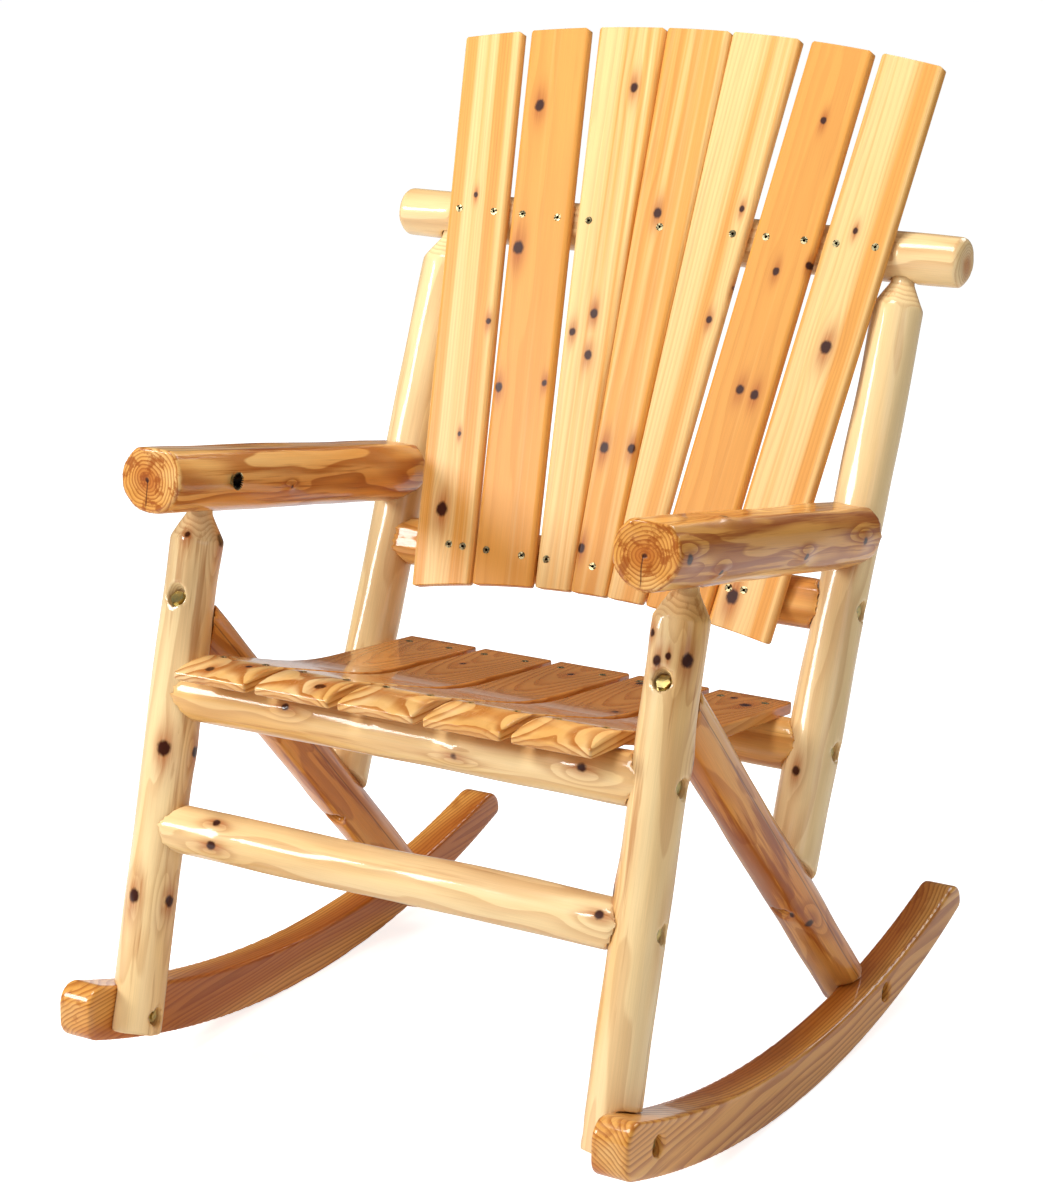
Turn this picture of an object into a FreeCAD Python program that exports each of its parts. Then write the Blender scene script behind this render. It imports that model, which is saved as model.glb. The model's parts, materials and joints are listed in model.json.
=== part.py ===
import FreeCAD, Part
import math
import os

import Sketcher

# A log rocking chair. Millimetres. X runs to the sitter's left, the chair faces -Y and Z is up.
# The origin is on the floor at the middle of the chair's box. The chair stands as it rests,
# on the two rockers, and every node is one rigid chair: nothing in it moves against the rest.

Vector = FreeCAD.Vector
Placement = FreeCAD.Placement
Rotation = FreeCAD.Rotation

PARTS_FOLDER = "parts"
FLAT = 1e-3  # lengths under this count as nothing when edges are picked

# ---------------------------------------------------------------- driving sizes

SIZES = [
    # posts, rails and arms
    ("LogCentreX", 279.0, "middle plane of each side's posts, arm and brace"),
    ("FrontPostDiameter", 55.0, "front post log"),
    ("RearPostDiameter", 56.0, "rear post log"),
    ("BraceDiameter", 53.0, "brace log"),
    ("ArmDiameter", 73.0, "armrest log"),
    ("RailDiameter", 54.0, "seat rails and lower back crossbar"),
    ("StretcherDiameter", 52.0, "front stretcher log"),
    ("CrossbarDiameter", 54.0, "top crossbar log"),
    ("CrossbarLength", 691.0, "top crossbar, end to end"),
    ("LogChamfer", 5.0, "eased ends of the top crossbar"),
    ("ArmEasing", 2.0, "rounded edge at the arms' front ends"),
    ("JointGap", 0.3, "clearance round copes, laps, tenons and bolts"),
    # where the logs run
    ("ArmFrontY", -321.8, "front end of the arm's axis"),
    ("ArmFrontZ", 644.6, "height of the arm's axis at its front end"),
    ("ArmFall", 8.9, "degrees the arm falls to the rear"),
    ("ArmLength", 481.0, "arm, along its axis, to the tips of its cope"),
    ("ArmFlat", 30.0, "planed top of the arm, above its axis"),
    ("FrontPostOnArm", 95.0, "from the arm's front end to the post, along the arm"),
    ("FrontPostLean", 13.3, "degrees the front post leans, foot forward"),
    ("BackLean", 21.1, "degrees the back and rear posts recline"),
    ("BackFootY", -90.7, "where the face of the back boards would meet the floor"),
    ("BarSeat", 24.0, "from the rear of the back boards to the crossbars' axes"),
    ("TopBarZ", 846.2, "height of the top crossbar's axis"),
    ("LowerBarZ", 490.1, "height of the lower back crossbar's axis"),
    ("FrontRailZ", 412.1, "height of the front seat rail's axis"),
    ("RearRailZ", 349.3, "height of the rear seat rail's axis"),
    ("StretcherZ", 275.7, "height of the stretcher's axis"),
    ("BraceHeadZ", 494.9, "where the brace's axis meets the front post's"),
    ("BraceFall", 44.3, "degrees the brace falls to the rear"),
    ("BraceFlat", 20.0, "planed side of the brace, from its axis"),
    # tenons
    ("TenonDiameter", 26.0, "round tenon at a post's head"),
    ("TenonPastAxis", 6.0, "tenon end, beyond the axis of the log it enters"),
    ("ConeLength", 27.0, "taper from log to tenon"),
    ("ConeStandoff", 1.5, "end of the taper below the log it enters"),
    ("MortiseRoom", 1.0, "mortise, past the end of its tenon"),
    # rockers
    ("RockerInnerX", 290.0, "inner face of the rocker"),
    ("RockerThickness", 40.0, "rocker plank"),
    ("RockRadius", 1250.0, "arc the chair rolls on"),
    ("RockCentreY", -7.0, "where the rockers rest on the floor"),
    ("RockerTopRadius", 1277.0, "arc of the rocker's top edge"),
    ("RockerTopCentreY", 23.8, "lowest place of the rocker's top edge"),
    ("RockerDepth", 51.6, "height of that place above the floor"),
    ("RockerNoseY", -421.5, "front end of the rocker"),
    ("RockerTailY", 421.5, "rear end of the rocker"),
    ("NoseRounding", 20.0, "rounded corners of the nose"),
    ("TailRounding", 25.0, "rounded upper corner of the tail"),
    ("TailHeelRounding", 6.0, "rounded lower corner of the tail"),
    ("RockerEasing", 3.0, "eased long edges of the rocker"),
    ("TongueLift", 12.0, "lap tongues end this far above the rocker's underside"),
    ("FrontLapBoltLift", 32.0, "front lap bolt above the rocker's underside"),
    ("BraceLapBoltLift", 26.0, "brace lap bolt above the rocker's underside"),
    # back boards, measured up the slope of the back from the floor
    ("BoardThickness", 14.0, "back boards"),
    ("BoardWidth", 76.0, "outer and inner back boards"),
    ("BoardFoot", 475.0, "level below the boards where their spacing is set"),
    ("BoardHead", 1155.0, "level above the boards where their spacing is set"),
    ("OuterFootX", 181.5, "outer board's centre line at the foot level"),
    ("OuterHeadX", 260.2, "outer board's centre line at the head level"),
    ("InnerFootX", 104.7, "inner board's centre line at the foot level"),
    ("InnerHeadX", 175.0, "inner board's centre line at the head level"),
    ("PanelFootX", 63.8, "half the centre panel's width at the foot level"),
    ("PanelHeadX", 126.0, "half the centre panel's width at the head level"),
    ("StaveFootX", 21.5, "half the middle stave's width at the foot level"),
    ("StaveHeadX", 40.5, "half the middle stave's width at the head level"),
    ("BackTop", 1147.0, "top of the back at its middle"),
    ("BackTopRadius", 1694.0, "arch of the back's top edge"),
    ("BackBottom", 509.0, "bottom of the back at its middle"),
    ("BackBottomRadius", 1111.0, "arch of the back's bottom edge"),
    ("BoardScrewSpread", 22.5, "board screws, each side of a board's centre line"),
    ("OuterLowerScrewX", 173.5, "middle of the outer boards' lower pair of screws"),
    ("OuterLowerScrewSpread", 9.0, "outer boards' lower screws, each side of that middle"),
    ("PinSink", 1.5, "heads of the tenon screws, below their logs' sides"),
    ("BarFlatMargin", 14.0, "planed flats of the crossbars, past the outer boards' centre lines"),
    ("PanelScrewX", 88.5, "outer screws of the centre panel, upper row"),
    ("PanelLowerScrewX", 57.7, "outer screws of the centre panel, lower row"),
    # seat
    ("SlatWidth", 86.5, "seat slat"),
    ("SlatPitch", 97.5, "seat slats, centre to centre"),
    ("SlatThickness", 14.5, "seat slat, square to its face"),
    ("SlatLip", 9.5, "front face of a slat"),
    ("SeatFrontY", -342.0, "front face of the slats"),
    ("SeatRearY", 118.0, "rear end of the slats"),
    ("CrestY", -305.6, "crest at the front of the seat"),
    ("CrestZ", 460.0, "height of the crest"),
    ("CrestRadius", 140.0, "roll of the crest"),
    ("SeatFall", 16.0, "degrees the seat falls behind the crest"),
    ("DishStartY", -157.9, "where the dish begins"),
    ("DishRadius", 600.0, "dish of the seat"),
    ("RearFall", 5.7, "degrees the seat falls behind the dish"),
    ("SeatScrewSpread", 26.0, "seat screws, each side of a slat's middle"),
    # hardware
    ("BoltDiameter", 8.0, "bolt and lag shanks"),
    ("BoltHeadAcross", 15.0, "hexagon heads and nuts, across corners"),
    ("BoltHeadHeight", 5.5, "hexagon heads and nuts"),
    ("WasherDiameter", 19.0, "washers"),
    ("WasherThickness", 1.6, "washers"),
    ("CounterboreDiameter", 21.0, "counterbores"),
    ("CounterboreDepth", 14.0, "counterbores"),
    ("LagGrip", 92.0, "lag shank under its washer"),
    ("LagRoom", 2.0, "lag hole, past the end of its lag"),
    ("BoltShow", 2.0, "end of a lap bolt, past its nut"),
    ("NutClearance", 0.1, "nut's bore, round its bolt"),
    ("ScrewDiameter", 4.0, "wood screw shanks"),
    ("ScrewHeadDiameter", 8.4, "wood screw heads"),
    ("ScrewHeadHeight", 3.0, "wood screw heads"),
    ("ScrewLength", 32.0, "wood screws"),
    ("ScrewMouth", 2.0, "screw hole cutters, above the face that the head is flush with"),
]

# ---------------------------------------------------------------- worked-out places


def on_front_post(height):
    """The Y of the front post's axis at a height."""
    return f"Worked.ArmJointY - (Worked.ArmJointZ - {height}) * tan(Sizes.FrontPostLean)"


def on_rear_post(height):
    """The Y of the rear post's axis at a height."""
    return f"Worked.PostLine + {height} * tan(Sizes.BackLean)"


WORKED = [
    ("PostLine", "Sizes.BackFootY + (Sizes.BoardThickness + Sizes.BarSeat) / cos(Sizes.BackLean)"),
    ("BarRise", "(Sizes.BoardThickness + Sizes.BarSeat) * tan(Sizes.BackLean)"),
    ("UpperLevel", "Sizes.TopBarZ / cos(Sizes.BackLean) + Worked.BarRise"),
    ("LowerLevel", "Sizes.LowerBarZ / cos(Sizes.BackLean) + Worked.BarRise"),
    ("ArmJointY", "Sizes.ArmFrontY + Sizes.FrontPostOnArm * cos(Sizes.ArmFall)"),
    ("ArmJointZ", "Sizes.ArmFrontZ - Sizes.FrontPostOnArm * sin(Sizes.ArmFall)"),
    ("FrontRailY", on_front_post("Sizes.FrontRailZ")),
    ("StretcherY", on_front_post("Sizes.StretcherZ")),
    ("BraceHeadY", on_front_post("Sizes.BraceHeadZ")),
    ("TopBarY", on_rear_post("Sizes.TopBarZ")),
    ("LowerBarY", on_rear_post("Sizes.LowerBarZ")),
    ("RearRailY", on_rear_post("Sizes.RearRailZ")),
    ("BraceRun", "1 / tan(Sizes.BraceFall)"),
    ("FootZ", "(Worked.BraceHeadY + Sizes.BraceHeadZ * Worked.BraceRun - Worked.PostLine)"
     " / (tan(Sizes.BackLean) + Worked.BraceRun)"),
    ("FootY", "Worked.PostLine + Worked.FootZ * tan(Sizes.BackLean)"),
    ("ArmMeetZ", "(Sizes.ArmFrontZ + (Sizes.ArmFrontY - Worked.PostLine) * tan(Sizes.ArmFall))"
     " / (1 + tan(Sizes.BackLean) * tan(Sizes.ArmFall))"),
    ("ArmMeetY", "Worked.PostLine + Worked.ArmMeetZ * tan(Sizes.BackLean)"),
    ("RockerTopCentreZ", "Sizes.RockerDepth + Sizes.RockerTopRadius"),
    ("CrestEndY", "Sizes.CrestY + Sizes.CrestRadius * sin(Sizes.SeatFall)"),
    ("CrestEndZ", "Sizes.CrestZ - Sizes.CrestRadius * (1 - cos(Sizes.SeatFall))"),
    ("LipZ", "Sizes.CrestZ - Sizes.CrestRadius"
     " + sqrt(Sizes.CrestRadius ^ 2 - (Sizes.CrestY - Sizes.SeatFrontY) ^ 2)"),
    ("DishStartZ", "Worked.CrestEndZ - (Sizes.DishStartY - Worked.CrestEndY) * tan(Sizes.SeatFall)"),
    ("DishEndY", "Sizes.DishStartY + Sizes.DishRadius * (sin(Sizes.SeatFall) - sin(Sizes.RearFall))"),
    ("DishEndZ", "Worked.DishStartZ"
     " - Sizes.DishRadius * (cos(Sizes.RearFall) - cos(Sizes.SeatFall))"),
    ("SeatRearZ", "Worked.DishEndZ - (Sizes.SeatRearY - Worked.DishEndY) * tan(Sizes.RearFall)"),
    ("SeatAtFrontRail", "Sizes.CrestZ - Sizes.CrestRadius"
     " + sqrt(Sizes.CrestRadius ^ 2 - (Worked.FrontRailY - Sizes.CrestY) ^ 2)"),
    ("SeatAtRearRail", "Worked.SeatRearZ"
     " + (Sizes.SeatRearY - Worked.RearRailY) * tan(Sizes.RearFall)"),
]


def make_sizes(doc):
    """The sheet of driving sizes, one alias to a row, and what is worked out from them."""
    sheet = doc.addObject("Spreadsheet::Sheet", "Sizes")
    for row, (alias, value, note) in enumerate(SIZES, start=1):
        sheet.set(f"A{row}", note)
        sheet.set(f"B{row}", str(value))
        sheet.setAlias(f"B{row}", alias)
    doc.addObject("App::VarSet", "Worked")
    doc.recompute()
    add_worked(doc, WORKED)


def add_worked(doc, rows):
    """Add worked-out values, each of which may use the ones before it."""
    for name, expression in rows:
        doc.Worked.addProperty("App::PropertyFloat", name, "Worked")
        doc.Worked.setExpression(name, expression)
        doc.recompute()


# ---------------------------------------------------------------- drawing and placing


def bind(obj, **expressions):
    """Bind properties to expressions. A double underscore stands for a dot."""
    for name, expression in expressions.items():
        obj.setExpression(name.replace("__", "."), expression)
    return obj


def stand(obj, x, y, z, lean):
    """Put an object at a point, its own Z leaning to the rear by the given degrees."""
    obj.Placement = Placement(Vector(), Rotation(Vector(-1, 0, 0), 1))
    return bind(obj, Placement__Base__x=x, Placement__Base__y=y, Placement__Base__z=z,
                Placement__Rotation__Angle=lean)


def lay(obj, x, y, z, side=1):
    """Put an object at a point, its own Z along +X or, with side -1, along -X."""
    obj.Placement = Placement(Vector(), Rotation(Vector(0, side, 0), 90))
    return bind(obj, Placement__Base__x=x, Placement__Base__y=y, Placement__Base__z=z)


def value_of(obj, expression):
    """The number that an expression gives now."""
    value = obj.evalExpression(expression)
    return float(getattr(value, "Value", value))


def arc_between(start, end, radius, turn):
    """The arc from start to end with its centre on the left (turn 1) or the right (turn -1)."""
    chord = end - start
    left = Vector(-chord.y, chord.x, 0).normalize()
    rise = math.sqrt(radius ** 2 - (chord.Length / 2) ** 2)
    centre = (start + end) * 0.5 + left * rise * turn
    first, last = (start, end) if turn > 0 else (end, start)
    angles = [math.atan2(point.y - centre.y, point.x - centre.x) for point in (first, last)]
    return Part.ArcOfCircle(Part.Circle(centre, Vector(0, 0, 1), radius), *angles)


def draw(body, plane, corners):
    """A closed outline in one of the body's own planes.

    Each corner is (across, up) or (across, up, radius, turn), where the radius and the turn
    make an arc of the side that leaves the corner. Every corner is held to its expressions.
    """
    sketch = body.newObject("Sketcher::SketchObject", f"{body.Name}_outline")
    support = [f for f in body.Origin.OriginFeatures if f.Role == plane][0]
    sketch.AttachmentSupport = [(support, "")]
    sketch.MapMode = "FlatFace"
    points = [Vector(value_of(body, c[0]), value_of(body, c[1]), 0) for c in corners]
    ends = []
    for index, corner in enumerate(corners):
        start, end = points[index], points[(index + 1) % len(points)]
        if len(corner) == 2:
            sketch.addGeometry(Part.LineSegment(start, end), False)
            ends.append((1, 2))
            continue
        radius, turn = corner[2:]
        sketch.addGeometry(arc_between(start, end, value_of(body, radius), turn), False)
        ends.append((1, 2) if turn > 0 else (2, 1))
    for index in range(len(corners)):
        following = (index + 1) % len(corners)
        joint = (index, ends[index][1], following, ends[following][0])
        sketch.addConstraint(Sketcher.Constraint("Coincident", *joint))
    for index, corner in enumerate(corners):
        start = ends[index][0]
        for kind, number, expression in (("DistanceX", points[index].x, corner[0]),
                                         ("DistanceY", points[index].y, corner[1])):
            row = sketch.addConstraint(Sketcher.Constraint(kind, -1, 1, index, start, number))
            sketch.setExpression(f"Constraints[{row}]", expression)
        if len(corner) == 4:
            number = value_of(body, corner[2])
            row = sketch.addConstraint(Sketcher.Constraint("Radius", index, number))
            sketch.setExpression(f"Constraints[{row}]", corner[2])
    return sketch


def make_body(doc, name):
    return doc.addObject("PartDesign::Body", name)


def turned(doc, name, stations):
    """A piece turned about its own Z: stations of (height, radius), from its foot up."""
    body = make_body(doc, name)
    corners = [("0", stations[0][0])]
    corners += [(radius, height) for height, radius in stations]
    corners.append(("0", stations[-1][0]))
    sketch = draw(body, "XZ_Plane", corners)
    revolution = body.newObject("PartDesign::Revolution", f"{name}_turned")
    revolution.Profile = sketch
    revolution.ReferenceAxis = (sketch, ["V_Axis"])
    revolution.Angle = 360
    return body


def sawn(doc, name, plane, corners, thickness, reverse=False):
    """A piece sawn to an outline from a board of the given thickness."""
    body = make_body(doc, name)
    sketch = draw(body, plane, corners)
    pad = body.newObject("PartDesign::Pad", f"{name}_sawn")
    pad.Profile = sketch
    pad.Reversed = reverse
    pad.setExpression("Length", thickness)
    return body


def rod(doc, name, radius, height):
    cylinder = doc.addObject("Part::Cylinder", name)
    return bind(cylinder, Radius=radius, Height=height)


def block(doc, name, length, width, height):
    box = doc.addObject("Part::Box", name)
    return bind(box, Length=length, Width=width, Height=height)


def group(doc, name, members):
    compound = doc.addObject("Part::Compound", name)
    compound.Links = members
    return compound


def cut(doc, name, base, tools):
    """The base without the tools."""
    result = doc.addObject("Part::Cut", name)
    result.Base = base
    result.Tool = tools[0] if len(tools) == 1 else group(doc, f"{name}_tools", tools)
    return result


def common(doc, name, base, tool):
    result = doc.addObject("Part::Common", name)
    result.Base = base
    result.Tool = tool
    return result


def mirrored(doc, name, source):
    """The same piece on the other side of the chair."""
    mirror = doc.addObject("Part::Mirroring", name)
    mirror.Source = source
    mirror.Base = Vector(0, 0, 0)
    mirror.Normal = Vector(1, 0, 0)
    return mirror


# ---------------------------------------------------------------- hardware

SIDE_X = "Sizes.LogCentreX"
GAP = "Sizes.JointGap"
BORE = "Sizes.CounterboreDepth"
BORE_REACH = "3 * Sizes.CounterboreDepth"  # counterbore cutters run out well past their log
WASHER_TOP = "-Sizes.WasherThickness"
HEAD_TOP = "-Sizes.WasherThickness - Sizes.BoltHeadHeight"

# Directions, in degrees of lean from the vertical towards the rear.
ARM_LEAN = "90 + Sizes.ArmFall"
BRACE_LEAN = "90 + Sizes.BraceFall"
INTO_BOARDS = "90 + Sizes.BackLean"
STRAIGHT_DOWN = "180"


class Spot:
    """Where a fastener sits: a point, and a lean to the rear or a side that it points along."""

    def __init__(self, x, y, z, lean=None, side=None):
        self.x, self.y, self.z, self.lean, self.side = x, y, z, lean, side

    def at(self, offset):
        """A function that places an object this far along the fastener."""
        def put(obj):
            if self.side is not None:
                return lay(obj, f"{self.x} + {self.side} * ({offset})", self.y, self.z, self.side)
            y = f"{self.y} + ({offset}) * sin({self.lean})"
            z = f"{self.z} + ({offset}) * cos({self.lean})"
            return stand(obj, self.x, y, z, self.lean)
        return put


def shank_hole(doc, name, reach, spot):
    """The hole for a shank, from the seat of its washer."""
    return spot.at("0")(rod(doc, name, f"Sizes.BoltDiameter / 2 + {GAP}", reach))


def counterbore(doc, name, put):
    return put(rod(doc, name, "Sizes.CounterboreDiameter / 2", BORE_REACH))


def washer(doc, name, put):
    disc = put(rod(doc, f"{name}_disc", "Sizes.WasherDiameter / 2", "Sizes.WasherThickness"))
    eye = put(rod(doc, f"{name}_eye", f"Sizes.BoltDiameter / 2 + {GAP}", "Sizes.WasherThickness"))
    return cut(doc, name, disc, [eye])


def hexagon(doc, name, put):
    prism = doc.addObject("Part::Prism", name)
    prism.Polygon = 6
    return put(bind(prism, Circumradius="Sizes.BoltHeadAcross / 2", Height="Sizes.BoltHeadHeight"))


def hexagon_bolt(doc, name, spot, reach):
    """A hexagon head and its shank, which reaches this far past the seat of its washer."""
    bolt = doc.addObject("Part::Fuse", name)
    bolt.Base = hexagon(doc, f"{name}_head", spot.at(HEAD_TOP))
    bolt.Tool = spot.at(WASHER_TOP)(rod(doc, f"{name}_shank", "Sizes.BoltDiameter / 2",
                                        f"{reach} + Sizes.WasherThickness"))
    return bolt


def wood_screw(doc, name, spot):
    """A countersunk screw, its head flush at the spot. Returns it and its cutter."""
    radius = "Sizes.ScrewDiameter / 2"
    head_radius = "Sizes.ScrewHeadDiameter / 2"
    screw = turned(doc, name, [
        ("0", head_radius),
        ("Sizes.ScrewHeadHeight", radius),
        ("Sizes.ScrewLength", radius),
    ])
    hole = turned(doc, f"{name}_hole", [
        ("-Sizes.ScrewMouth", f"{head_radius} + {GAP}"),
        ("0", f"{head_radius} + {GAP}"),
        ("Sizes.ScrewHeadHeight", f"{radius} + {GAP}"),
        (f"Sizes.ScrewLength + 2 * {GAP}", f"{radius} + {GAP}"),
    ])
    return spot.at("0")(screw), spot.at("0")(hole)


# ---------------------------------------------------------------- the chair's shared parts


class Chair:
    """The pieces made so far, and the cutters that later pieces share."""

    def __init__(self, doc):
        self.doc = doc
        self.nodes = {}
        self.washers = []
        self.tenon_screws = []
        self.cutters = {}  # the holes of each fastener of the left side
        self.waste = {}  # copes, laps and flats, by name
        self.seat_holes = {}  # the seat screws' holes, by (slat, rail)
        self.bar_holes = {}  # the board screws' holes, by crossbar

    def keep(self, name, obj):
        self.nodes[name] = obj

    def keep_sides(self, name, left):
        """A piece of the left side and its mirror image, as two nodes."""
        self.keep(f"{name}_left", left)
        self.keep(f"{name}_right", mirrored(self.doc, f"{name}_mirror", left))

    def keep_pair(self, name, left_members):
        """Fasteners of the left side and their mirror images, as one node."""
        left = group(self.doc, f"{name}_near", left_members)
        far = mirrored(self.doc, f"{name}_far", left)
        self.keep(name, group(self.doc, f"{name}_all", [left, far]))

    def holes(self, *names):
        return [hole for name in names for hole in self.cutters[name]]


def lag_spots():
    """Where the washers of the left side's lags seat, by what the lags hold."""
    spots = {}
    for name, post, y, z in (
            ("front_rail", "Front", "Worked.FrontRailY", "Sizes.FrontRailZ"),
            ("stretcher", "Front", "Worked.StretcherY", "Sizes.StretcherZ"),
            ("rear_rail", "Rear", "Worked.RearRailY", "Sizes.RearRailZ"),
            ("lower_crossbar", "Rear", "Worked.LowerBarY", "Sizes.LowerBarZ")):
        spots[name] = Spot(f"{SIDE_X} + Sizes.{post}PostDiameter / 2 - {BORE}", y, z, side=-1)
    # The slanted lags start from where the two logs' axes meet.
    back = f"(Sizes.FrontPostDiameter / 2 / sin({BRACE_LEAN} - Sizes.FrontPostLean) - {BORE})"
    spots["brace_head"] = Spot(
        SIDE_X, f"Worked.BraceHeadY - {back} * cos(Sizes.BraceFall)",
        f"Sizes.BraceHeadZ + {back} * sin(Sizes.BraceFall)", BRACE_LEAN)
    back = f"(Sizes.BraceDiameter / 2 / sin({BRACE_LEAN} - Sizes.BackLean) - {BORE})"
    spots["rear_post_foot"] = Spot(
        SIDE_X, f"Worked.FootY - {back} * sin(Sizes.BackLean)",
        f"Worked.FootZ - {back} * cos(Sizes.BackLean)", "Sizes.BackLean")
    back = f"(Sizes.RearPostDiameter / 2 / sin({ARM_LEAN} - Sizes.BackLean) - {BORE})"
    spots["arm_end"] = Spot(
        SIDE_X, f"Worked.ArmMeetY + {back} * cos(Sizes.ArmFall)",
        f"Worked.ArmMeetZ - {back} * sin(Sizes.ArmFall)", f"180 + {ARM_LEAN}")
    return spots


def make_lags(chair):
    """The lags in their counterbores, with their washers."""
    doc = chair.doc
    for name, spot in lag_spots().items():
        chair.keep_pair(f"{name}_lags", [hexagon_bolt(doc, f"{name}_lag", spot, "Sizes.LagGrip")])
        chair.washers.append(washer(doc, f"{name}_washer", spot.at(WASHER_TOP)))
        chair.cutters[name] = [
            shank_hole(doc, f"{name}_hole", "Sizes.LagGrip + Sizes.LagRoom", spot),
            counterbore(doc, f"{name}_bore", spot.at(f"-{BORE_REACH}")),
        ]


def make_lap_bolts(chair):
    """The bolts through the laps, which run inwards from the rocker's outer face."""
    doc = chair.doc
    bolts, nuts = [], []
    for name, lift, diameter in (
            ("front_lap", "Sizes.FrontLapBoltLift", "Sizes.FrontPostDiameter"),
            ("brace_lap", "Sizes.BraceLapBoltLift", "Sizes.BraceDiameter")):
        seat = f"Sizes.RockerInnerX + Sizes.RockerThickness - {BORE}"
        grip = f"({seat} - ({SIDE_X} - {diameter} / 2 + {BORE}))"
        spot = Spot(seat, *lap_point(doc, name, lift), side=-1)
        reach = f"{grip} + Sizes.WasherThickness + Sizes.BoltHeadHeight + Sizes.BoltShow"
        bolts.append(hexagon_bolt(doc, f"{name}_bolt", spot, reach))
        chair.washers.append(washer(doc, f"{name}_head_washer", spot.at(WASHER_TOP)))
        chair.washers.append(washer(doc, f"{name}_nut_washer", spot.at(grip)))
        nut_seat = spot.at(f"{grip} + Sizes.WasherThickness")
        eye = nut_seat(rod(doc, f"{name}_nut_eye", "Sizes.BoltDiameter / 2 + Sizes.NutClearance",
                           "Sizes.BoltHeadHeight"))
        nuts.append(cut(doc, f"{name}_nut", hexagon(doc, f"{name}_nut_blank", nut_seat), [eye]))
        chair.cutters[name] = [
            shank_hole(doc, f"{name}_hole", grip, spot),
            counterbore(doc, f"{name}_bore", spot.at(f"-{BORE_REACH}")),
            counterbore(doc, f"{name}_nut_bore", spot.at(grip)),
        ]
    chair.keep_pair("rocker_lap_bolts", bolts)
    chair.keep_pair("rocker_lap_nuts", nuts)


def lap_point(doc, name, lift):
    """Y and Z where a lap bolt crosses its log's axis, at its lift above the rocker's lower edge.

    The log's axis meets the arc of the bolt's own radius about the rockers' centre.
    The steps of the sum become cells of the worked sheet.
    """
    if name == "front_lap":
        along_y, along_z = "-sin(Sizes.FrontPostLean)", "-cos(Sizes.FrontPostLean)"
        from_y, from_z = "Worked.ArmJointY", "Worked.ArmJointZ"
    else:
        along_y, along_z = "cos(Sizes.BraceFall)", "-sin(Sizes.BraceFall)"
        from_y, from_z = "Worked.BraceHeadY", "Sizes.BraceHeadZ"
    cell = f"Worked.{name}_"
    add_worked(doc, [
        (f"{name}_Dy", f"{from_y} - Sizes.RockCentreY"),
        (f"{name}_Dz", f"{from_z} - Sizes.RockRadius"),
        (f"{name}_Half", f"{cell}Dy * ({along_y}) + {cell}Dz * ({along_z})"),
        (f"{name}_Run", f"-{cell}Half + sqrt({cell}Half ^ 2 - {cell}Dy ^ 2 - {cell}Dz ^ 2"
         f" + (Sizes.RockRadius - {lift}) ^ 2)"),
        (f"{name}_Y", f"{from_y} + {cell}Run * ({along_y})"),
        (f"{name}_Z", f"{from_z} + {cell}Run * ({along_z})"),
    ])
    return f"{cell}Y", f"{cell}Z"


# ---------------------------------------------------------------- rockers and laps


def make_rockers(chair):
    """The two rocker planks, bored for the lap bolts."""
    doc = chair.doc
    rocker = sawn(doc, "rocker_plank", "YZ_Plane", [
        ("Sizes.RockerNoseY", arc_z("Rock", "Sizes.RockerNoseY"), "Sizes.RockRadius", 1),
        ("Sizes.RockerTailY", arc_z("Rock", "Sizes.RockerTailY")),
        ("Sizes.RockerTailY", arc_z("RockerTop", "Sizes.RockerTailY"),
         "Sizes.RockerTopRadius", -1),
        ("Sizes.RockerNoseY", arc_z("RockerTop", "Sizes.RockerNoseY")),
    ], "Sizes.RockerThickness")
    bind(rocker, Placement__Base__x="Sizes.RockerInnerX")
    doc.recompute()
    round_rocker(rocker)
    chair.keep_sides("rocker", cut(doc, "rocker_bored", rocker,
                                   chair.holes("front_lap", "brace_lap")))


def arc_z(which, y):
    """Height of the rocker's lower (Rock) or upper (RockerTop) edge at a Y."""
    centre = {"Rock": "Sizes.RockRadius", "RockerTop": "Worked.RockerTopCentreZ"}[which]
    return f"{centre} - sqrt(Sizes.{which}Radius ^ 2 - ({y} - Sizes.{which}CentreY) ^ 2)"


def round_rocker(body):
    """Round the rocker's corners, then ease its long edges."""
    corners = [("Nose", "Sizes.NoseRounding"), ("Tail", "Sizes.TailRounding"),
               ("TailHeel", "Sizes.TailHeelRounding")]
    for corner, radius in corners:
        fillet_edges(body, f"rocker_{corner}", radius,
                     [name for name, edge in named_edges(body) if corner_of(body, edge) == corner])
    side_edges = [name for name, edge in named_edges(body)
                  if edge.BoundBox.XLength < FLAT and edge.Length > FLAT]
    fillet_edges(body, "rocker_easing", "Sizes.RockerEasing", side_edges)


def named_edges(body):
    """The edges of a body's last feature, with the names that features call them by."""
    return [(f"Edge{index}", edge) for index, edge in enumerate(body.Tip.Shape.Edges, start=1)]


def corner_of(body, edge):
    """Which of the rocker's corners an edge is, or none: a corner runs straight across it."""
    box = edge.BoundBox
    if box.YLength > FLAT or box.ZLength > FLAT or box.XLength < FLAT:
        return None
    y = (box.YMin + box.YMax) / 2
    z = (box.ZMin + box.ZMax) / 2
    if abs(y - value_of(body, "Sizes.RockerNoseY")) < FLAT:
        return "Nose"
    if abs(y - value_of(body, "Sizes.RockerTailY")) > FLAT:
        return None
    under = abs(z - value_of(body, arc_z("Rock", "Sizes.RockerTailY"))) < FLAT
    return "TailHeel" if under else "Tail"


def fillet_edges(body, name, radius, edges):
    """Round edges of a body's last feature."""
    base = body.Tip
    fillet = body.newObject("PartDesign::Fillet", name)
    fillet.Base = (base, edges)
    fillet.setExpression("Radius", radius)
    body.Document.recompute()


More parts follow.
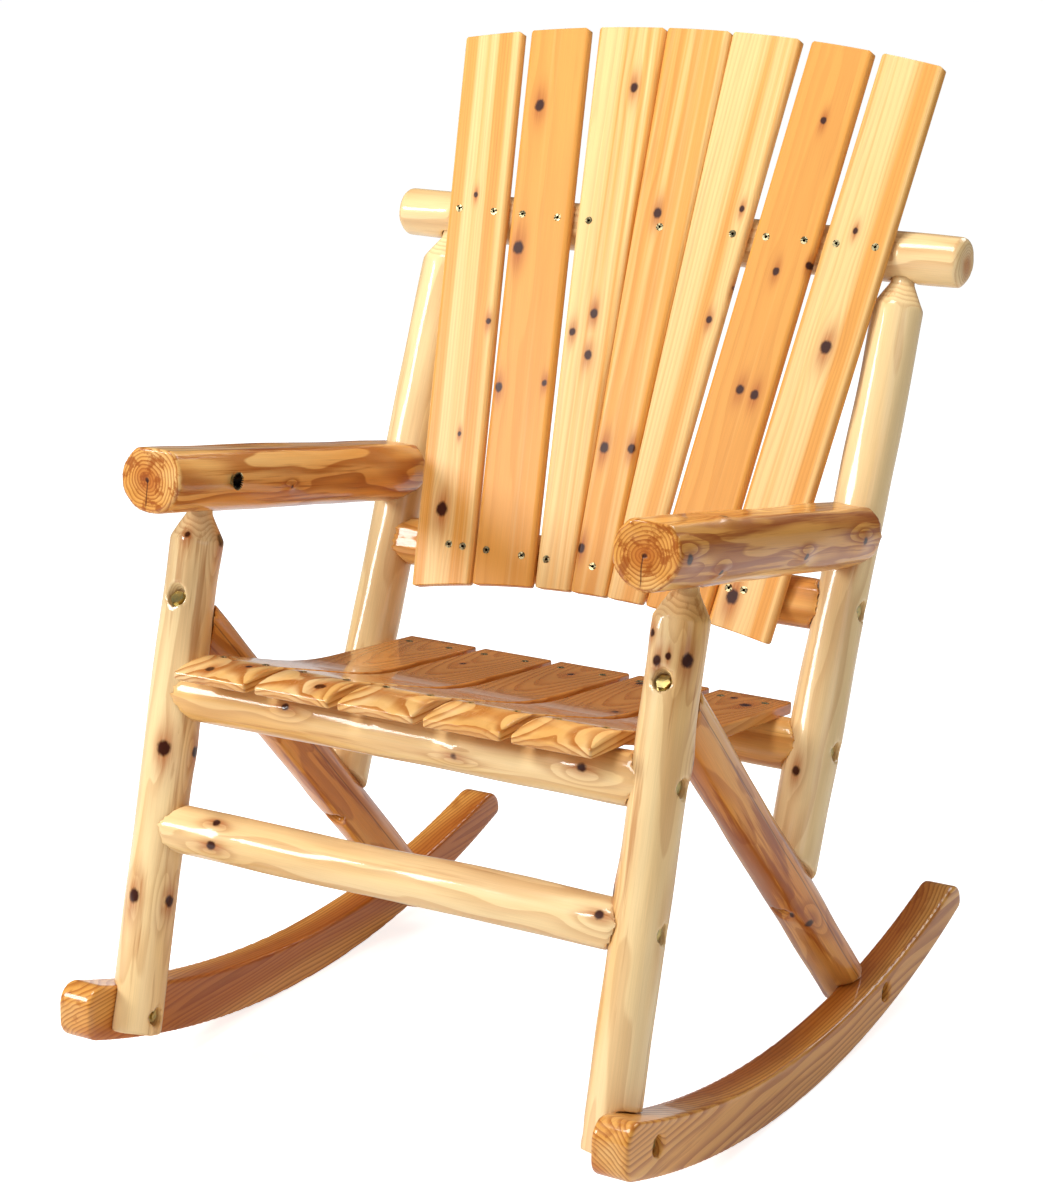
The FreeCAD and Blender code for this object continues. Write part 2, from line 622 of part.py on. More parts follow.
def make_laps(chair):
    """What the laps take from a log: all that is inside the rocker's inner face and top edge.

    The tongues that are left end on an arc above the rocker's underside.
    Cutters are made larger than what they clear, and their spare length meets nothing.
    """
    doc = chair.doc
    box = block(doc, "lap_box", "Sizes.RockerThickness * 2",
                "(Sizes.RockerTailY - Sizes.RockerNoseY) * 2", "Sizes.RockerTopRadius")
    bind(box, Placement__Base__x=f"Sizes.RockerInnerX - {GAP}",
         Placement__Base__y="Sizes.RockerNoseY * 2",
         Placement__Base__z="Sizes.RockerDepth - Sizes.RockerTopRadius / 2")
    above = lay(rod(doc, "lap_round", f"Sizes.RockerTopRadius - {GAP}",
                    "Sizes.RockerThickness * 4"),
                "Sizes.RockerInnerX - Sizes.RockerThickness", "Sizes.RockerTopCentreY",
                "Worked.RockerTopCentreZ")
    chair.waste["lap"] = cut(doc, "lap_waste", box, [above])
    chair.waste["tongue"] = lay(rod(doc, "tongue_round", "Sizes.RockRadius - Sizes.TongueLift",
                                    "Sizes.RockerInnerX * 2"),
                                "0", "Sizes.RockCentreY", "Sizes.RockRadius")


# ---------------------------------------------------------------- posts, braces and arms


def tenoned_log(doc, name, log, into, foot):
    """A post from its foot up: the log, its taper, and a tenon past the axis of the upper log."""
    taper_top = f"-(Sizes.{into}Diameter / 2 + Sizes.ConeStandoff)"
    return turned(doc, name, [
        (foot, f"Sizes.{log}Diameter / 2"),
        (f"{taper_top} - Sizes.ConeLength", f"Sizes.{log}Diameter / 2"),
        (taper_top, "Sizes.TenonDiameter / 2"),
        ("Sizes.TenonPastAxis", "Sizes.TenonDiameter / 2"),
    ])


def mortise(doc, name, y, z, lean, diameter):
    """The hole for a tenon, which ends a little past the tenon."""
    start = f"(Sizes.TenonPastAxis + Sizes.MortiseRoom - {diameter})"
    hole = rod(doc, name, f"Sizes.TenonDiameter / 2 + {GAP}", diameter)
    return stand(hole, SIDE_X, f"{y} + {start} * sin({lean})", f"{z} + {start} * cos({lean})", lean)


def make_front_posts(chair):
    doc = chair.doc
    log = tenoned_log(doc, "front_post_log", "FrontPost", "Arm",
                      "-Worked.ArmJointZ / cos(Sizes.FrontPostLean)")
    stand(log, SIDE_X, "Worked.ArmJointY", "Worked.ArmJointZ", "Sizes.FrontPostLean")
    pin, chair.waste["arm_pin"] = wood_screw(doc, "arm_pin", Spot(
        f"{SIDE_X} - Sizes.ArmDiameter / 2 + Sizes.PinSink", "Worked.ArmJointY",
        "Worked.ArmJointZ", side=1))
    chair.tenon_screws.append(pin)
    ended = common(doc, "front_post_ended", log, chair.waste["tongue"])
    chair.keep_sides("front_post", cut(
        doc, "front_post_lapped", ended, [chair.waste["lap"], chair.waste["arm_pin"]]
        + chair.holes("front_rail", "stretcher", "brace_head", "front_lap")))
    chair.waste["front_cope"] = stand(
        rod(doc, "front_cope", f"Sizes.FrontPostDiameter / 2 + {GAP}", "Worked.ArmJointZ"),
        SIDE_X, on_front_post("0"), "0", "Sizes.FrontPostLean")


def brace_side(doc, name, half_width, width, offset):
    """A long block that lies along the brace, its rear face this far above the brace's axis."""
    side = block(doc, name, f"2 * {half_width}", width, "Sizes.BraceHeadZ * 2")
    return stand(side, f"{SIDE_X} - {half_width}",
                 f"Worked.BraceHeadY + ({offset}) * sin(Sizes.BraceFall)",
                 f"Sizes.BraceHeadZ + ({offset}) * cos(Sizes.BraceFall)", BRACE_LEAN)


def make_braces(chair):
    doc = chair.doc
    log = stand(rod(doc, "brace_log", "Sizes.BraceDiameter / 2", "Sizes.BraceHeadZ * 2"),
                SIDE_X, "Worked.BraceHeadY", "Sizes.BraceHeadZ", BRACE_LEAN)
    planed = brace_side(doc, "brace_planed_side", "Sizes.BraceDiameter / 2", "Sizes.BraceDiameter",
                        "Sizes.BraceFlat + Sizes.BraceDiameter")
    ended = common(doc, "brace_ended", log, chair.waste["tongue"])
    chair.keep_sides("brace", cut(
        doc, "brace_lapped", ended, [chair.waste["front_cope"], planed, chair.waste["lap"]]
        + chair.holes("brace_head", "rear_post_foot", "brace_lap")))


def make_rear_posts(chair):
    doc = chair.doc
    log = tenoned_log(
        doc, "rear_post_log", "RearPost", "Crossbar",
        "-(Sizes.TopBarZ - Worked.FootZ) / cos(Sizes.BackLean) - Sizes.RearPostDiameter")
    stand(log, SIDE_X, "Worked.TopBarY", "Sizes.TopBarZ", "Sizes.BackLean")
    foot = brace_side(doc, "rear_post_foot_waste", "Sizes.RearPostDiameter",
                      "Sizes.RearPostDiameter * 3", "Sizes.BraceFlat")
    back = "(Sizes.CrossbarDiameter / 2 - Sizes.PinSink)"
    pin, chair.waste["bar_pin"] = wood_screw(doc, "bar_pin", Spot(
        SIDE_X, f"Worked.TopBarY + {back} * cos(Sizes.BackLean)",
        f"Sizes.TopBarZ - {back} * sin(Sizes.BackLean)", f"180 + {INTO_BOARDS}"))
    chair.tenon_screws.append(pin)
    chair.keep_sides("rear_post", cut(
        doc, "rear_post_fitted", log, [foot, chair.waste["bar_pin"]]
        + chair.holes("rear_rail", "lower_crossbar", "rear_post_foot", "arm_end")))
    chair.waste["rear_cope"] = stand(
        rod(doc, "rear_cope", f"Sizes.RearPostDiameter / 2 + {GAP}", "Sizes.TopBarZ"),
        SIDE_X, "Worked.PostLine", "0", "Sizes.BackLean")


def arm_end_ball(doc):
    """A ball that rounds an arm's front edge: it takes off the easing's width both ways."""
    half = "Sizes.ArmDiameter / 2"
    ball = doc.addObject("Part::Sphere", "arm_end_ball")
    bind(ball, Radius=f"sqrt(({half}) ^ 2 + ({half} - Sizes.ArmEasing) ^ 2)",
         Placement__Base__x=SIDE_X,
         Placement__Base__y=f"Sizes.ArmFrontY + {half} * cos(Sizes.ArmFall)",
         Placement__Base__z=f"Sizes.ArmFrontZ - {half} * sin(Sizes.ArmFall)")
    return ball


def make_armrests(chair):
    doc = chair.doc
    on_arm = (SIDE_X, "Sizes.ArmFrontY", "Sizes.ArmFrontZ", ARM_LEAN)
    blank = stand(rod(doc, "arm_blank", "Sizes.ArmDiameter / 2", "Sizes.ArmLength"), *on_arm)
    end = stand(rod(doc, "arm_end_disc", "Sizes.ArmDiameter", "Sizes.ArmEasing"), *on_arm)
    log = cut(doc, "arm_log", blank, [cut(doc, "arm_end_waste", end, [arm_end_ball(doc)])])
    top = block(doc, "arm_waste", "Sizes.ArmDiameter", "Sizes.ArmDiameter", "Sizes.ArmLength * 2")
    stand(top, f"{SIDE_X} - Sizes.ArmDiameter / 2",
          "Sizes.ArmFrontY - Sizes.ArmLength / 2 * cos(Sizes.ArmFall)"
          " + (Sizes.ArmFlat + Sizes.ArmDiameter) * sin(Sizes.ArmFall)",
          "Sizes.ArmFrontZ + Sizes.ArmLength / 2 * sin(Sizes.ArmFall)"
          " + (Sizes.ArmFlat + Sizes.ArmDiameter) * cos(Sizes.ArmFall)", ARM_LEAN)
    socket = mortise(doc, "arm_mortise", "Worked.ArmJointY", "Worked.ArmJointZ",
                     "Sizes.FrontPostLean", "Sizes.ArmDiameter")
    chair.keep_sides("armrest", cut(
        doc, "armrest_fitted", log,
        [top, socket, chair.waste["rear_cope"], chair.waste["arm_pin"]] + chair.holes("arm_end")))


# ---------------------------------------------------------------- the seat

SLATS = range(1, 6)


def slat_middle(number):
    """X of a slat's middle, the slats numbered from the sitter's right."""
    return f"({number - SLATS[-1] // 2 - 1}) * Sizes.SlatPitch"


def seat_profile():
    """Corners of a slat's side, from the lip's foot, clockwise seen from the sitter's left."""
    def under(y, z, fall):
        return (f"{y} - Sizes.SlatThickness * sin({fall})",
                f"{z} - Sizes.SlatThickness * cos({fall})")
    crest_end = ("Worked.CrestEndY", "Worked.CrestEndZ")
    dish_start = ("Sizes.DishStartY", "Worked.DishStartZ")
    dish_end = ("Worked.DishEndY", "Worked.DishEndZ")
    rear = ("Sizes.SeatRearY", "Worked.SeatRearZ")
    return [
        ("Sizes.SeatFrontY", "Worked.LipZ - Sizes.SlatLip"),
        ("Sizes.SeatFrontY", "Worked.LipZ", "Sizes.CrestRadius", -1),
        crest_end,
        (*dish_start, "Sizes.DishRadius", 1),
        dish_end,
        rear,
        under(*rear, "Sizes.RearFall"),
        (*under(*dish_end, "Sizes.RearFall"), "Sizes.DishRadius + Sizes.SlatThickness", -1),
        under(*dish_start, "Sizes.SeatFall"),
        under(*crest_end, "Sizes.SeatFall"),
    ]


def make_seat(chair):
    """The slats and their screws, and the bed that the slats leave in the rails."""
    doc = chair.doc
    levels = {"front": ("Worked.FrontRailY", "Worked.SeatAtFrontRail"),
              "rear": ("Worked.RearRailY", "Worked.SeatAtRearRail")}
    screws = []
    for number in SLATS:
        for rail, (y, z) in levels.items():
            chair.seat_holes[number, rail] = []
            for hand in (-1, 1):
                name = f"seat_screw_{number}_{rail}_{'rl'[hand > 0]}"
                x = f"{slat_middle(number)} + {hand} * Sizes.SeatScrewSpread"
                screw, hole = wood_screw(doc, name, Spot(x, y, z, lean=STRAIGHT_DOWN))
                screws.append(screw)
                chair.seat_holes[number, rail].append(hole)
        slat = sawn(doc, f"slat_blank_{number}", "YZ_Plane", seat_profile(), "Sizes.SlatWidth")
        bind(slat, Placement__Base__x=f"{slat_middle(number)} - Sizes.SlatWidth / 2")
        holes = chair.seat_holes[number, "front"] + chair.seat_holes[number, "rear"]
        chair.keep(f"seat_slat_{number}", cut(doc, f"slat_bored_{number}", slat, holes))
    chair.keep("seat_screws", group(doc, "seat_screw_group", screws))
    bed = sawn(doc, "seat_bed", "YZ_Plane", seat_profile(),
               f"{len(SLATS) - 1} * Sizes.SlatPitch + Sizes.SlatWidth")
    chair.waste["seat"] = bind(bed, Placement__Base__x=f"{slat_middle(1)} - Sizes.SlatWidth / 2")


# ---------------------------------------------------------------- the back


def lean_back(obj):
    """Put an object drawn in the plane of the back's face where the back stands."""
    return stand(obj, "0", "Sizes.BackFootY", "0", "Sizes.BackLean")


def fan_level(edge, x):
    """Level of the back's top or bottom arch at an X."""
    return f"Sizes.{edge} - Sizes.{edge}Radius + sqrt(Sizes.{edge}Radius ^ 2 - ({x}) ^ 2)"


def make_fan(doc):
    """All that is between the back's two arches, wider than the back."""
    wide = "Sizes.OuterHeadX * 2"
    return lean_back(sawn(doc, "fan_outline", "XZ_Plane", [
        (f"-{wide}", fan_level("BackBottom", wide), "Sizes.BackBottomRadius", -1),
        (wide, fan_level("BackBottom", wide)),
        (wide, fan_level("BackTop", wide), "Sizes.BackTopRadius", 1),
        (f"-{wide}", fan_level("BackTop", wide)),
    ], "Sizes.BoardThickness", reverse=True))


def board_edges():
    """X of each back piece's two edges, at the foot level and then at the head level."""
    strips = {}
    for name, place in (("back_board_1", "-Sizes.Outer{}X"), ("back_board_2", "-Sizes.Inner{}X"),
                        ("back_board_3", "Sizes.Inner{}X"), ("back_board_4", "Sizes.Outer{}X")):
        strips[name] = [f"{place.format(level)} {hand} Sizes.BoardWidth / 2"
                        for level in ("Foot", "Head") for hand in "-+"]
    borders = ["-Sizes.Panel{}X", "-Sizes.Stave{}X", "Sizes.Stave{}X", "Sizes.Panel{}X"]
    for number, pair in enumerate(zip(borders, borders[1:]), start=1):
        strips[f"centre_stave_{number}"] = [edge.format(level) for level in ("Foot", "Head")
                                            for edge in pair]
    return strips


def screw_places(row):
    """The board screws of a row: the piece that each one passes through, and its X."""
    share = f"((Worked.{row}Level - Sizes.BoardFoot) / (Sizes.BoardHead - Sizes.BoardFoot))"
    inner = f"(Sizes.InnerFootX + (Sizes.InnerHeadX - Sizes.InnerFootX) * {share})"
    if row == "Upper":
        outer = f"(Sizes.OuterFootX + (Sizes.OuterHeadX - Sizes.OuterFootX) * {share})"
        outer_spread, panel = "Sizes.BoardScrewSpread", "Sizes.PanelScrewX"
    else:
        outer, outer_spread = "Sizes.OuterLowerScrewX", "Sizes.OuterLowerScrewSpread"
        panel = "Sizes.PanelLowerScrewX"
    places = [("centre_stave_1", f"-{panel}"), ("centre_stave_2", "0"), ("centre_stave_3", panel)]
    for hand in (-1, 1):
        places += [
            ("back_board_1", f"-{outer} + {hand} * {outer_spread}"),
            ("back_board_2", f"-{inner} + {hand} * Sizes.BoardScrewSpread"),
            ("back_board_3", f"{inner} + {hand} * Sizes.BoardScrewSpread"),
            ("back_board_4", f"{outer} + {hand} * {outer_spread}"),
        ]
    return places


def make_board_screws(chair):
    """Both rows of board screws. Returns their holes by the piece that they pass through."""
    holes = {name: [] for name in board_edges()}
    for row in ("Upper", "Lower"):
        level = f"Worked.{row}Level"
        screws, chair.bar_holes[row] = [], []
        for name, x in screw_places(row):
            screw, hole = wood_screw(chair.doc, f"{row}_screw_{len(screws)}", Spot(
                x, f"Sizes.BackFootY + {level} * sin(Sizes.BackLean)",
                f"{level} * cos(Sizes.BackLean)", INTO_BOARDS))
            screws.append(screw)
            holes[name].append(hole)
            chair.bar_holes[row].append(hole)
        chair.keep(f"{row.lower()}_back_screws", group(chair.doc, f"{row}_screw_group", screws))
    return holes


def make_back(chair):
    """The boards and staves of the back: strips of a fan between two arches."""
    doc = chair.doc
    fan = make_fan(doc)
    holes = make_board_screws(chair)
    for name, (foot_right, foot_left, head_right, head_left) in board_edges().items():
        strip = lean_back(sawn(doc, f"{name}_strip", "XZ_Plane", [
            (foot_right, "Sizes.BoardFoot"),
            (foot_left, "Sizes.BoardFoot"),
            (head_left, "Sizes.BoardHead"),
            (head_right, "Sizes.BoardHead"),
        ], "Sizes.BoardThickness", reverse=True))
        shaped = common(doc, f"{name}_shaped", strip, fan)
        chair.keep(name, cut(doc, f"{name}_bored", shaped, holes[name]))
    half = "(Sizes.OuterHeadX + Sizes.BarFlatMargin)"
    bed = block(doc, "board_bed", f"2 * {half}", "Sizes.BoardThickness",
                "Sizes.BoardHead - Sizes.BoardFoot")
    chair.waste["boards"] = stand(
        bed, f"-{half}", "Sizes.BackFootY + Sizes.BoardFoot * sin(Sizes.BackLean)",
        "Sizes.BoardFoot * cos(Sizes.BackLean)", "Sizes.BackLean")


# ---------------------------------------------------------------- cross logs


def make_cross_logs(chair):
    """The rails, the stretcher and the lower crossbar, coped to the posts at both ends."""
    doc = chair.doc
    logs = {
        "front_seat_rail": ("Rail", "Worked.FrontRailY", "Sizes.FrontRailZ", "front_rail"),
        "rear_seat_rail": ("Rail", "Worked.RearRailY", "Sizes.RearRailZ", "rear_rail"),
        "front_stretcher": ("Stretcher", "Worked.StretcherY", "Sizes.StretcherZ", "stretcher"),
        "lower_back_crossbar": ("Rail", "Worked.LowerBarY", "Sizes.LowerBarZ", "lower_crossbar"),
    }
    for name, (size, y, z, lag) in logs.items():
        log = lay(rod(doc, f"{name}_log", f"Sizes.{size}Diameter / 2", f"2 * {SIDE_X}"),
                  f"-{SIDE_X}", y, z)
        end = "front" if name.startswith("front") else "rear"
        tools = []
        for cutter in (chair.waste[f"{end}_cope"], chair.cutters[lag][0]):
            tools += [cutter, mirrored(doc, f"{name}_{cutter.Name}_far", cutter)]
        if name.endswith("seat_rail"):
            tools.append(chair.waste["seat"])
            for number in SLATS:
                tools += chair.seat_holes[number, end]
        if name == "lower_back_crossbar":
            log = cut(doc, f"{name}_planed", log, [chair.waste["boards"]])
            tools += chair.bar_holes["Lower"]
        chair.keep(name, cut(doc, f"{name}_fitted", log, tools))


def make_top_crossbar(chair):
    """The top crossbar, which runs past the posts that are tenoned into it."""
    doc = chair.doc
    log = turned(doc, "top_bar_log", [
        ("0", "Sizes.CrossbarDiameter / 2 - Sizes.LogChamfer"),
        ("Sizes.LogChamfer", "Sizes.CrossbarDiameter / 2"),
        ("Sizes.CrossbarLength - Sizes.LogChamfer", "Sizes.CrossbarDiameter / 2"),
        ("Sizes.CrossbarLength", "Sizes.CrossbarDiameter / 2 - Sizes.LogChamfer"),
    ])
    lay(log, "-Sizes.CrossbarLength / 2", "Worked.TopBarY", "Sizes.TopBarZ")
    planed = cut(doc, "top_crossbar_planed", log, [chair.waste["boards"]])
    socket = mortise(doc, "bar_mortise", "Worked.TopBarY", "Sizes.TopBarZ", "Sizes.BackLean",
                     "Sizes.CrossbarDiameter")
    tools = [socket, mirrored(doc, "bar_mortise_far", socket),
             chair.waste["bar_pin"], mirrored(doc, "bar_pin_far", chair.waste["bar_pin"])]
    chair.keep("top_crossbar", cut(doc, "top_crossbar_fitted", planed,
                                   tools + chair.bar_holes["Upper"]))


# ---------------------------------------------------------------- build, check and write


def build(doc):
    """Make every piece. Returns the pieces to write, by node name."""
    make_sizes(doc)
    chair = Chair(doc)
    for make in (make_lags, make_lap_bolts, make_rockers, make_laps, make_front_posts,
                 make_braces, make_rear_posts, make_armrests, make_seat, make_back,
                 make_cross_logs, make_top_crossbar):
        make(chair)
    chair.keep_pair("bolt_washers", chair.washers)
    chair.keep_pair("tenon_screws", chair.tenon_screws)
    return chair.nodes


def check(doc, nodes):
    """Stop at a failed object or an empty or invalid piece."""
    for obj in doc.Objects:
        if "Invalid" in obj.State or "Error" in obj.State:
            raise RuntimeError(f"{obj.Name} failed: {obj.State}")
    for name, obj in nodes.items():
        if obj.Shape.isNull() or not obj.Shape.isValid() or not obj.Shape.Solids:
            raise RuntimeError(f"{name} has no valid solid")


def main():
    os.makedirs(PARTS_FOLDER, exist_ok=True)
    doc = FreeCAD.newDocument("RockingChair")
    nodes = build(doc)
    for name, obj in nodes.items():
        obj.Label = name
    doc.recompute()
    check(doc, nodes)
    for name, obj in nodes.items():
        obj.Shape.exportStep(os.path.join(PARTS_FOLDER, f"{name}.step"))
    print(len(nodes), "nodes written")


main()
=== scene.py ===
"""A rocking chair of peeled logs and sawn boards under a clear gloss varnish.

Laid out as an add-on: sizes and colours in property groups, one operator to a group of pieces,
and a panel that lists them. Lengths are in metres. A piece's own frame has Z along the grain.
"""
import json
import math

import bpy
import numpy as np
from mathutils import Matrix, Vector


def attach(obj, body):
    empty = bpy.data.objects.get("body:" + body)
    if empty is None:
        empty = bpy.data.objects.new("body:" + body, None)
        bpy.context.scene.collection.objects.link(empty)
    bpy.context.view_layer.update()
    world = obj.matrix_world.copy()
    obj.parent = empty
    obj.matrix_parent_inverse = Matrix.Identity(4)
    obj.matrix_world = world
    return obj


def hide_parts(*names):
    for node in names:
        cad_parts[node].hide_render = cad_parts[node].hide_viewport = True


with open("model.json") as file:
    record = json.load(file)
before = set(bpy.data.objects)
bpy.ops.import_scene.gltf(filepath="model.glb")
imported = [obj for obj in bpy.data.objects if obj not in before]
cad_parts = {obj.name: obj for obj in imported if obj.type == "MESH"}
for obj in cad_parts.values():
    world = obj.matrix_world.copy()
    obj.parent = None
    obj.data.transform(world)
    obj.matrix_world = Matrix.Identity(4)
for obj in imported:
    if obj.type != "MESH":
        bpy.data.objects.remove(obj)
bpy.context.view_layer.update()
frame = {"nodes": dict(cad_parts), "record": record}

bl_info = {
    "name": "Log Rocking Chair",
    "version": (1, 0, 0),
    "blender": (4, 5, 0),
    "location": "View3D > Sidebar > Chair",
    "description": "Shapes and finishes the pieces of a log rocking chair",
    "category": "Object",
}

SIDES = {"left": 1, "right": -1}   # the sitter's sides, and the sign of X there

POST_X = 0.279                     # the logs of each side, out from the middle
FRONT_LEAN, BACK_LEAN, ARM_FALL, BRACE_FALL = 13.3, 21.1, 8.9, 44.3   # degrees

# Points (Y, Z) on the logs' axes.
ARM_JOINT = (-0.2279, 0.6299)      # top of the front post
TOP_BAR = (0.2766, 0.8462)         # top of the rear post
BRACE_HEAD = (-0.2599, 0.4949)
ARM_FRONT = (-0.3218, 0.6446)
FRONT_RAIL = (-0.2794, 0.4121)
STRETCHER = (-0.3117, 0.2757)
REAR_RAIL = (0.0848, 0.3493)
LOWER_BAR = (0.1391, 0.4901)

# Radii on which the logs' knots lie.
FRONT_POST_RADIUS, REAR_POST_RADIUS, BRACE_RADIUS = 0.0275, 0.028, 0.0265
ARM_RADIUS, RAIL_RADIUS, STRETCHER_RADIUS = 0.0365, 0.027, 0.026

# The back boards: where the plane of their fronts meets the floor, and their foot and head,
# measured up the back.
BACK_FOOT_Y = -0.0907
BOARD_SPAN = (0.475, 1.155)

SLAT_PITCH, SLAT_HEIGHT = 0.0975, 0.42
ROCKER_X, ROCKER_HEIGHT = 0.31, 0.05

SHARP = math.radians(50)           # edges with a sharper turn than this stay sharp
COPLANAR = math.radians(0.5)       # faces with a smaller turn than this become one
TOUCHING = 0.00002                 # corners closer than this are one
SCREW_HOLE_EDGE = 0.003            # edges round a screw hole are shorter


# ------------------------------------------------------------------ frames

def lean(degrees):
    """The direction that leans this far from upright towards the rear."""
    return Vector((0, math.sin(math.radians(degrees)), math.cos(math.radians(degrees))))


def grain_frame(origin, along, across=(1, 0, 0)):
    """A frame at the origin with Z along the grain and X near the direction across."""
    z = Vector(along).normalized()
    x = Vector(across)
    x = (x - z * x.dot(z)).normalized()
    turn = Matrix((x, z.cross(x), z)).transposed().to_4x4()
    return Matrix.Translation(Vector(origin)) @ turn


def side_log(side, place, along):
    """The frame of a log on one side of the chair, from a point (Y, Z) of its axis."""
    return grain_frame((SIDES[side] * POST_X, *place), along)


def cross_log(place):
    """The frame of a log from side to side, from the point (Y, Z) of its axis."""
    return grain_frame((0, *place), (1, 0, 0), (0, 1, 0))


def board_frame(foot, head):
    """The frame of a back board, on its front face, from its centre's X at foot and head."""
    up = lean(BACK_LEAN)
    rise = BOARD_SPAN[1] - BOARD_SPAN[0]
    along = up + Vector((1, 0, 0)) * (head - foot) / rise
    origin = Vector((foot, BACK_FOOT_Y, 0)) + up * BOARD_SPAN[0]
    return grain_frame(origin, along)


# ------------------------------------------------------------------ settings

def colour(name, value, note):
    return bpy.props.FloatVectorProperty(name=name, description=note, default=value, size=3,
                                         subtype="COLOR", min=0, max=1)


def length(name, value, note):
    return bpy.props.FloatProperty(name=name, description=note, default=value, unit="LENGTH",
                                   subtype="DISTANCE", precision=4)


def share(name, value, note):
    return bpy.props.FloatProperty(name=name, description=note, default=value, min=0, max=1,
                                   subtype="FACTOR")


class LogShape(bpy.types.PropertyGroup):
    """How the logs and boards are shaped."""
    log_cell: length("Log cell", 0.0026, "Side of a mesh cell on logs and rockers")
    hewing: length("Hewing", 0.0034, "Height of the peeling marks on the logs")
    hewing_width: length("Hewing width", 0.030, "Width of the peeling marks")
    swell: length("Swell", 0.0032, "How much a log's girth wanders along it")
    swell_width: length("Swell width", 0.12, "Width of the swellings")
    knot_rise: length("Knot rise", 0.0022, "How far a knot stands out of a log")
    head_corner: length("Head corner", 0.0065, "Rounding of a back board's upper corners")
    foot_corner: length("Foot corner", 0.0030, "Rounding of a back board's lower corners")
    board_edge: length("Board edge", 0.0012, "Rounding of a back board's edges")
    glue_line: length("Glue line", 0.0003, "Rounding where two staves are glued together")
    slat_edge: length("Slat edge", 0.0028, "Rounding of a seat slat's edges")


class WoodColours(bpy.types.PropertyGroup):
    """The colours of the varnished wood."""
    sapwood: colour("Sapwood", (0.90, 0.67, 0.35), "Pale wood under the bark")
    honey: colour("Honey", (0.80, 0.45, 0.14), "Warm tone of the varnished sapwood")
    heartwood: colour("Heartwood", (0.62, 0.26, 0.06), "Wood near the pith")
    latewood: colour("Latewood", (0.45, 0.15, 0.022), "Dark line of each year's ring")
    amber: colour("Amber", (0.42, 0.13, 0.014), "Streaks of inner bark")
    halo: colour("Halo", (0.40, 0.10, 0.014), "Wood round a knot")
    knot: colour("Knot", (0.045, 0.008, 0.002), "The knot itself")


class StageSetup(bpy.types.PropertyGroup):
    """The camera and the lights."""
    focal: bpy.props.FloatProperty(name="Lens", description="Focal length in millimetres",
                                   default=88.82)
    place: bpy.props.FloatVectorProperty(name="Camera", description="Where the camera stands",
                                         default=(1.4596, -2.6681, 1.2942), size=3,
                                         subtype="TRANSLATION", unit="LENGTH")
    turn: bpy.props.FloatVectorProperty(
        name="Turn", description="The camera's rotation", size=3, subtype="EULER",
        default=[math.radians(a) for a in (75.154, -1.140, 29.426)])
    shift: bpy.props.FloatProperty(name="Shift", description="The lens's sideways shift",
                                   default=-0.0019, precision=4)
    sky: share("Sky", 0.30, "Brightness of the white surroundings")


# ------------------------------------------------------------------ node wiring

class Wire:
    """A number on its way through a material, which Python's operators work on."""

    def __init__(self, bench, socket):
        self.bench = bench
        self.socket = socket

    def __add__(self, other):
        return self.bench.math("ADD", self, other)

    __radd__ = __add__

    def __mul__(self, other):
        return self.bench.math("MULTIPLY", self, other)

    def __sub__(self, other):
        return self.bench.math("SUBTRACT", self, other)

    def __truediv__(self, other):
        return self.bench.math("DIVIDE", self, other)

    def __neg__(self):
        return self * -1


FAR = 9.0                          # in radii, further than any knot reaches
CORE_ALONG, HALO_ALONG = 0.85, 0.36   # a knot's core and halo are drawn out along the grain
PARTING = 1.9                      # in radii, how far round a knot the rings part


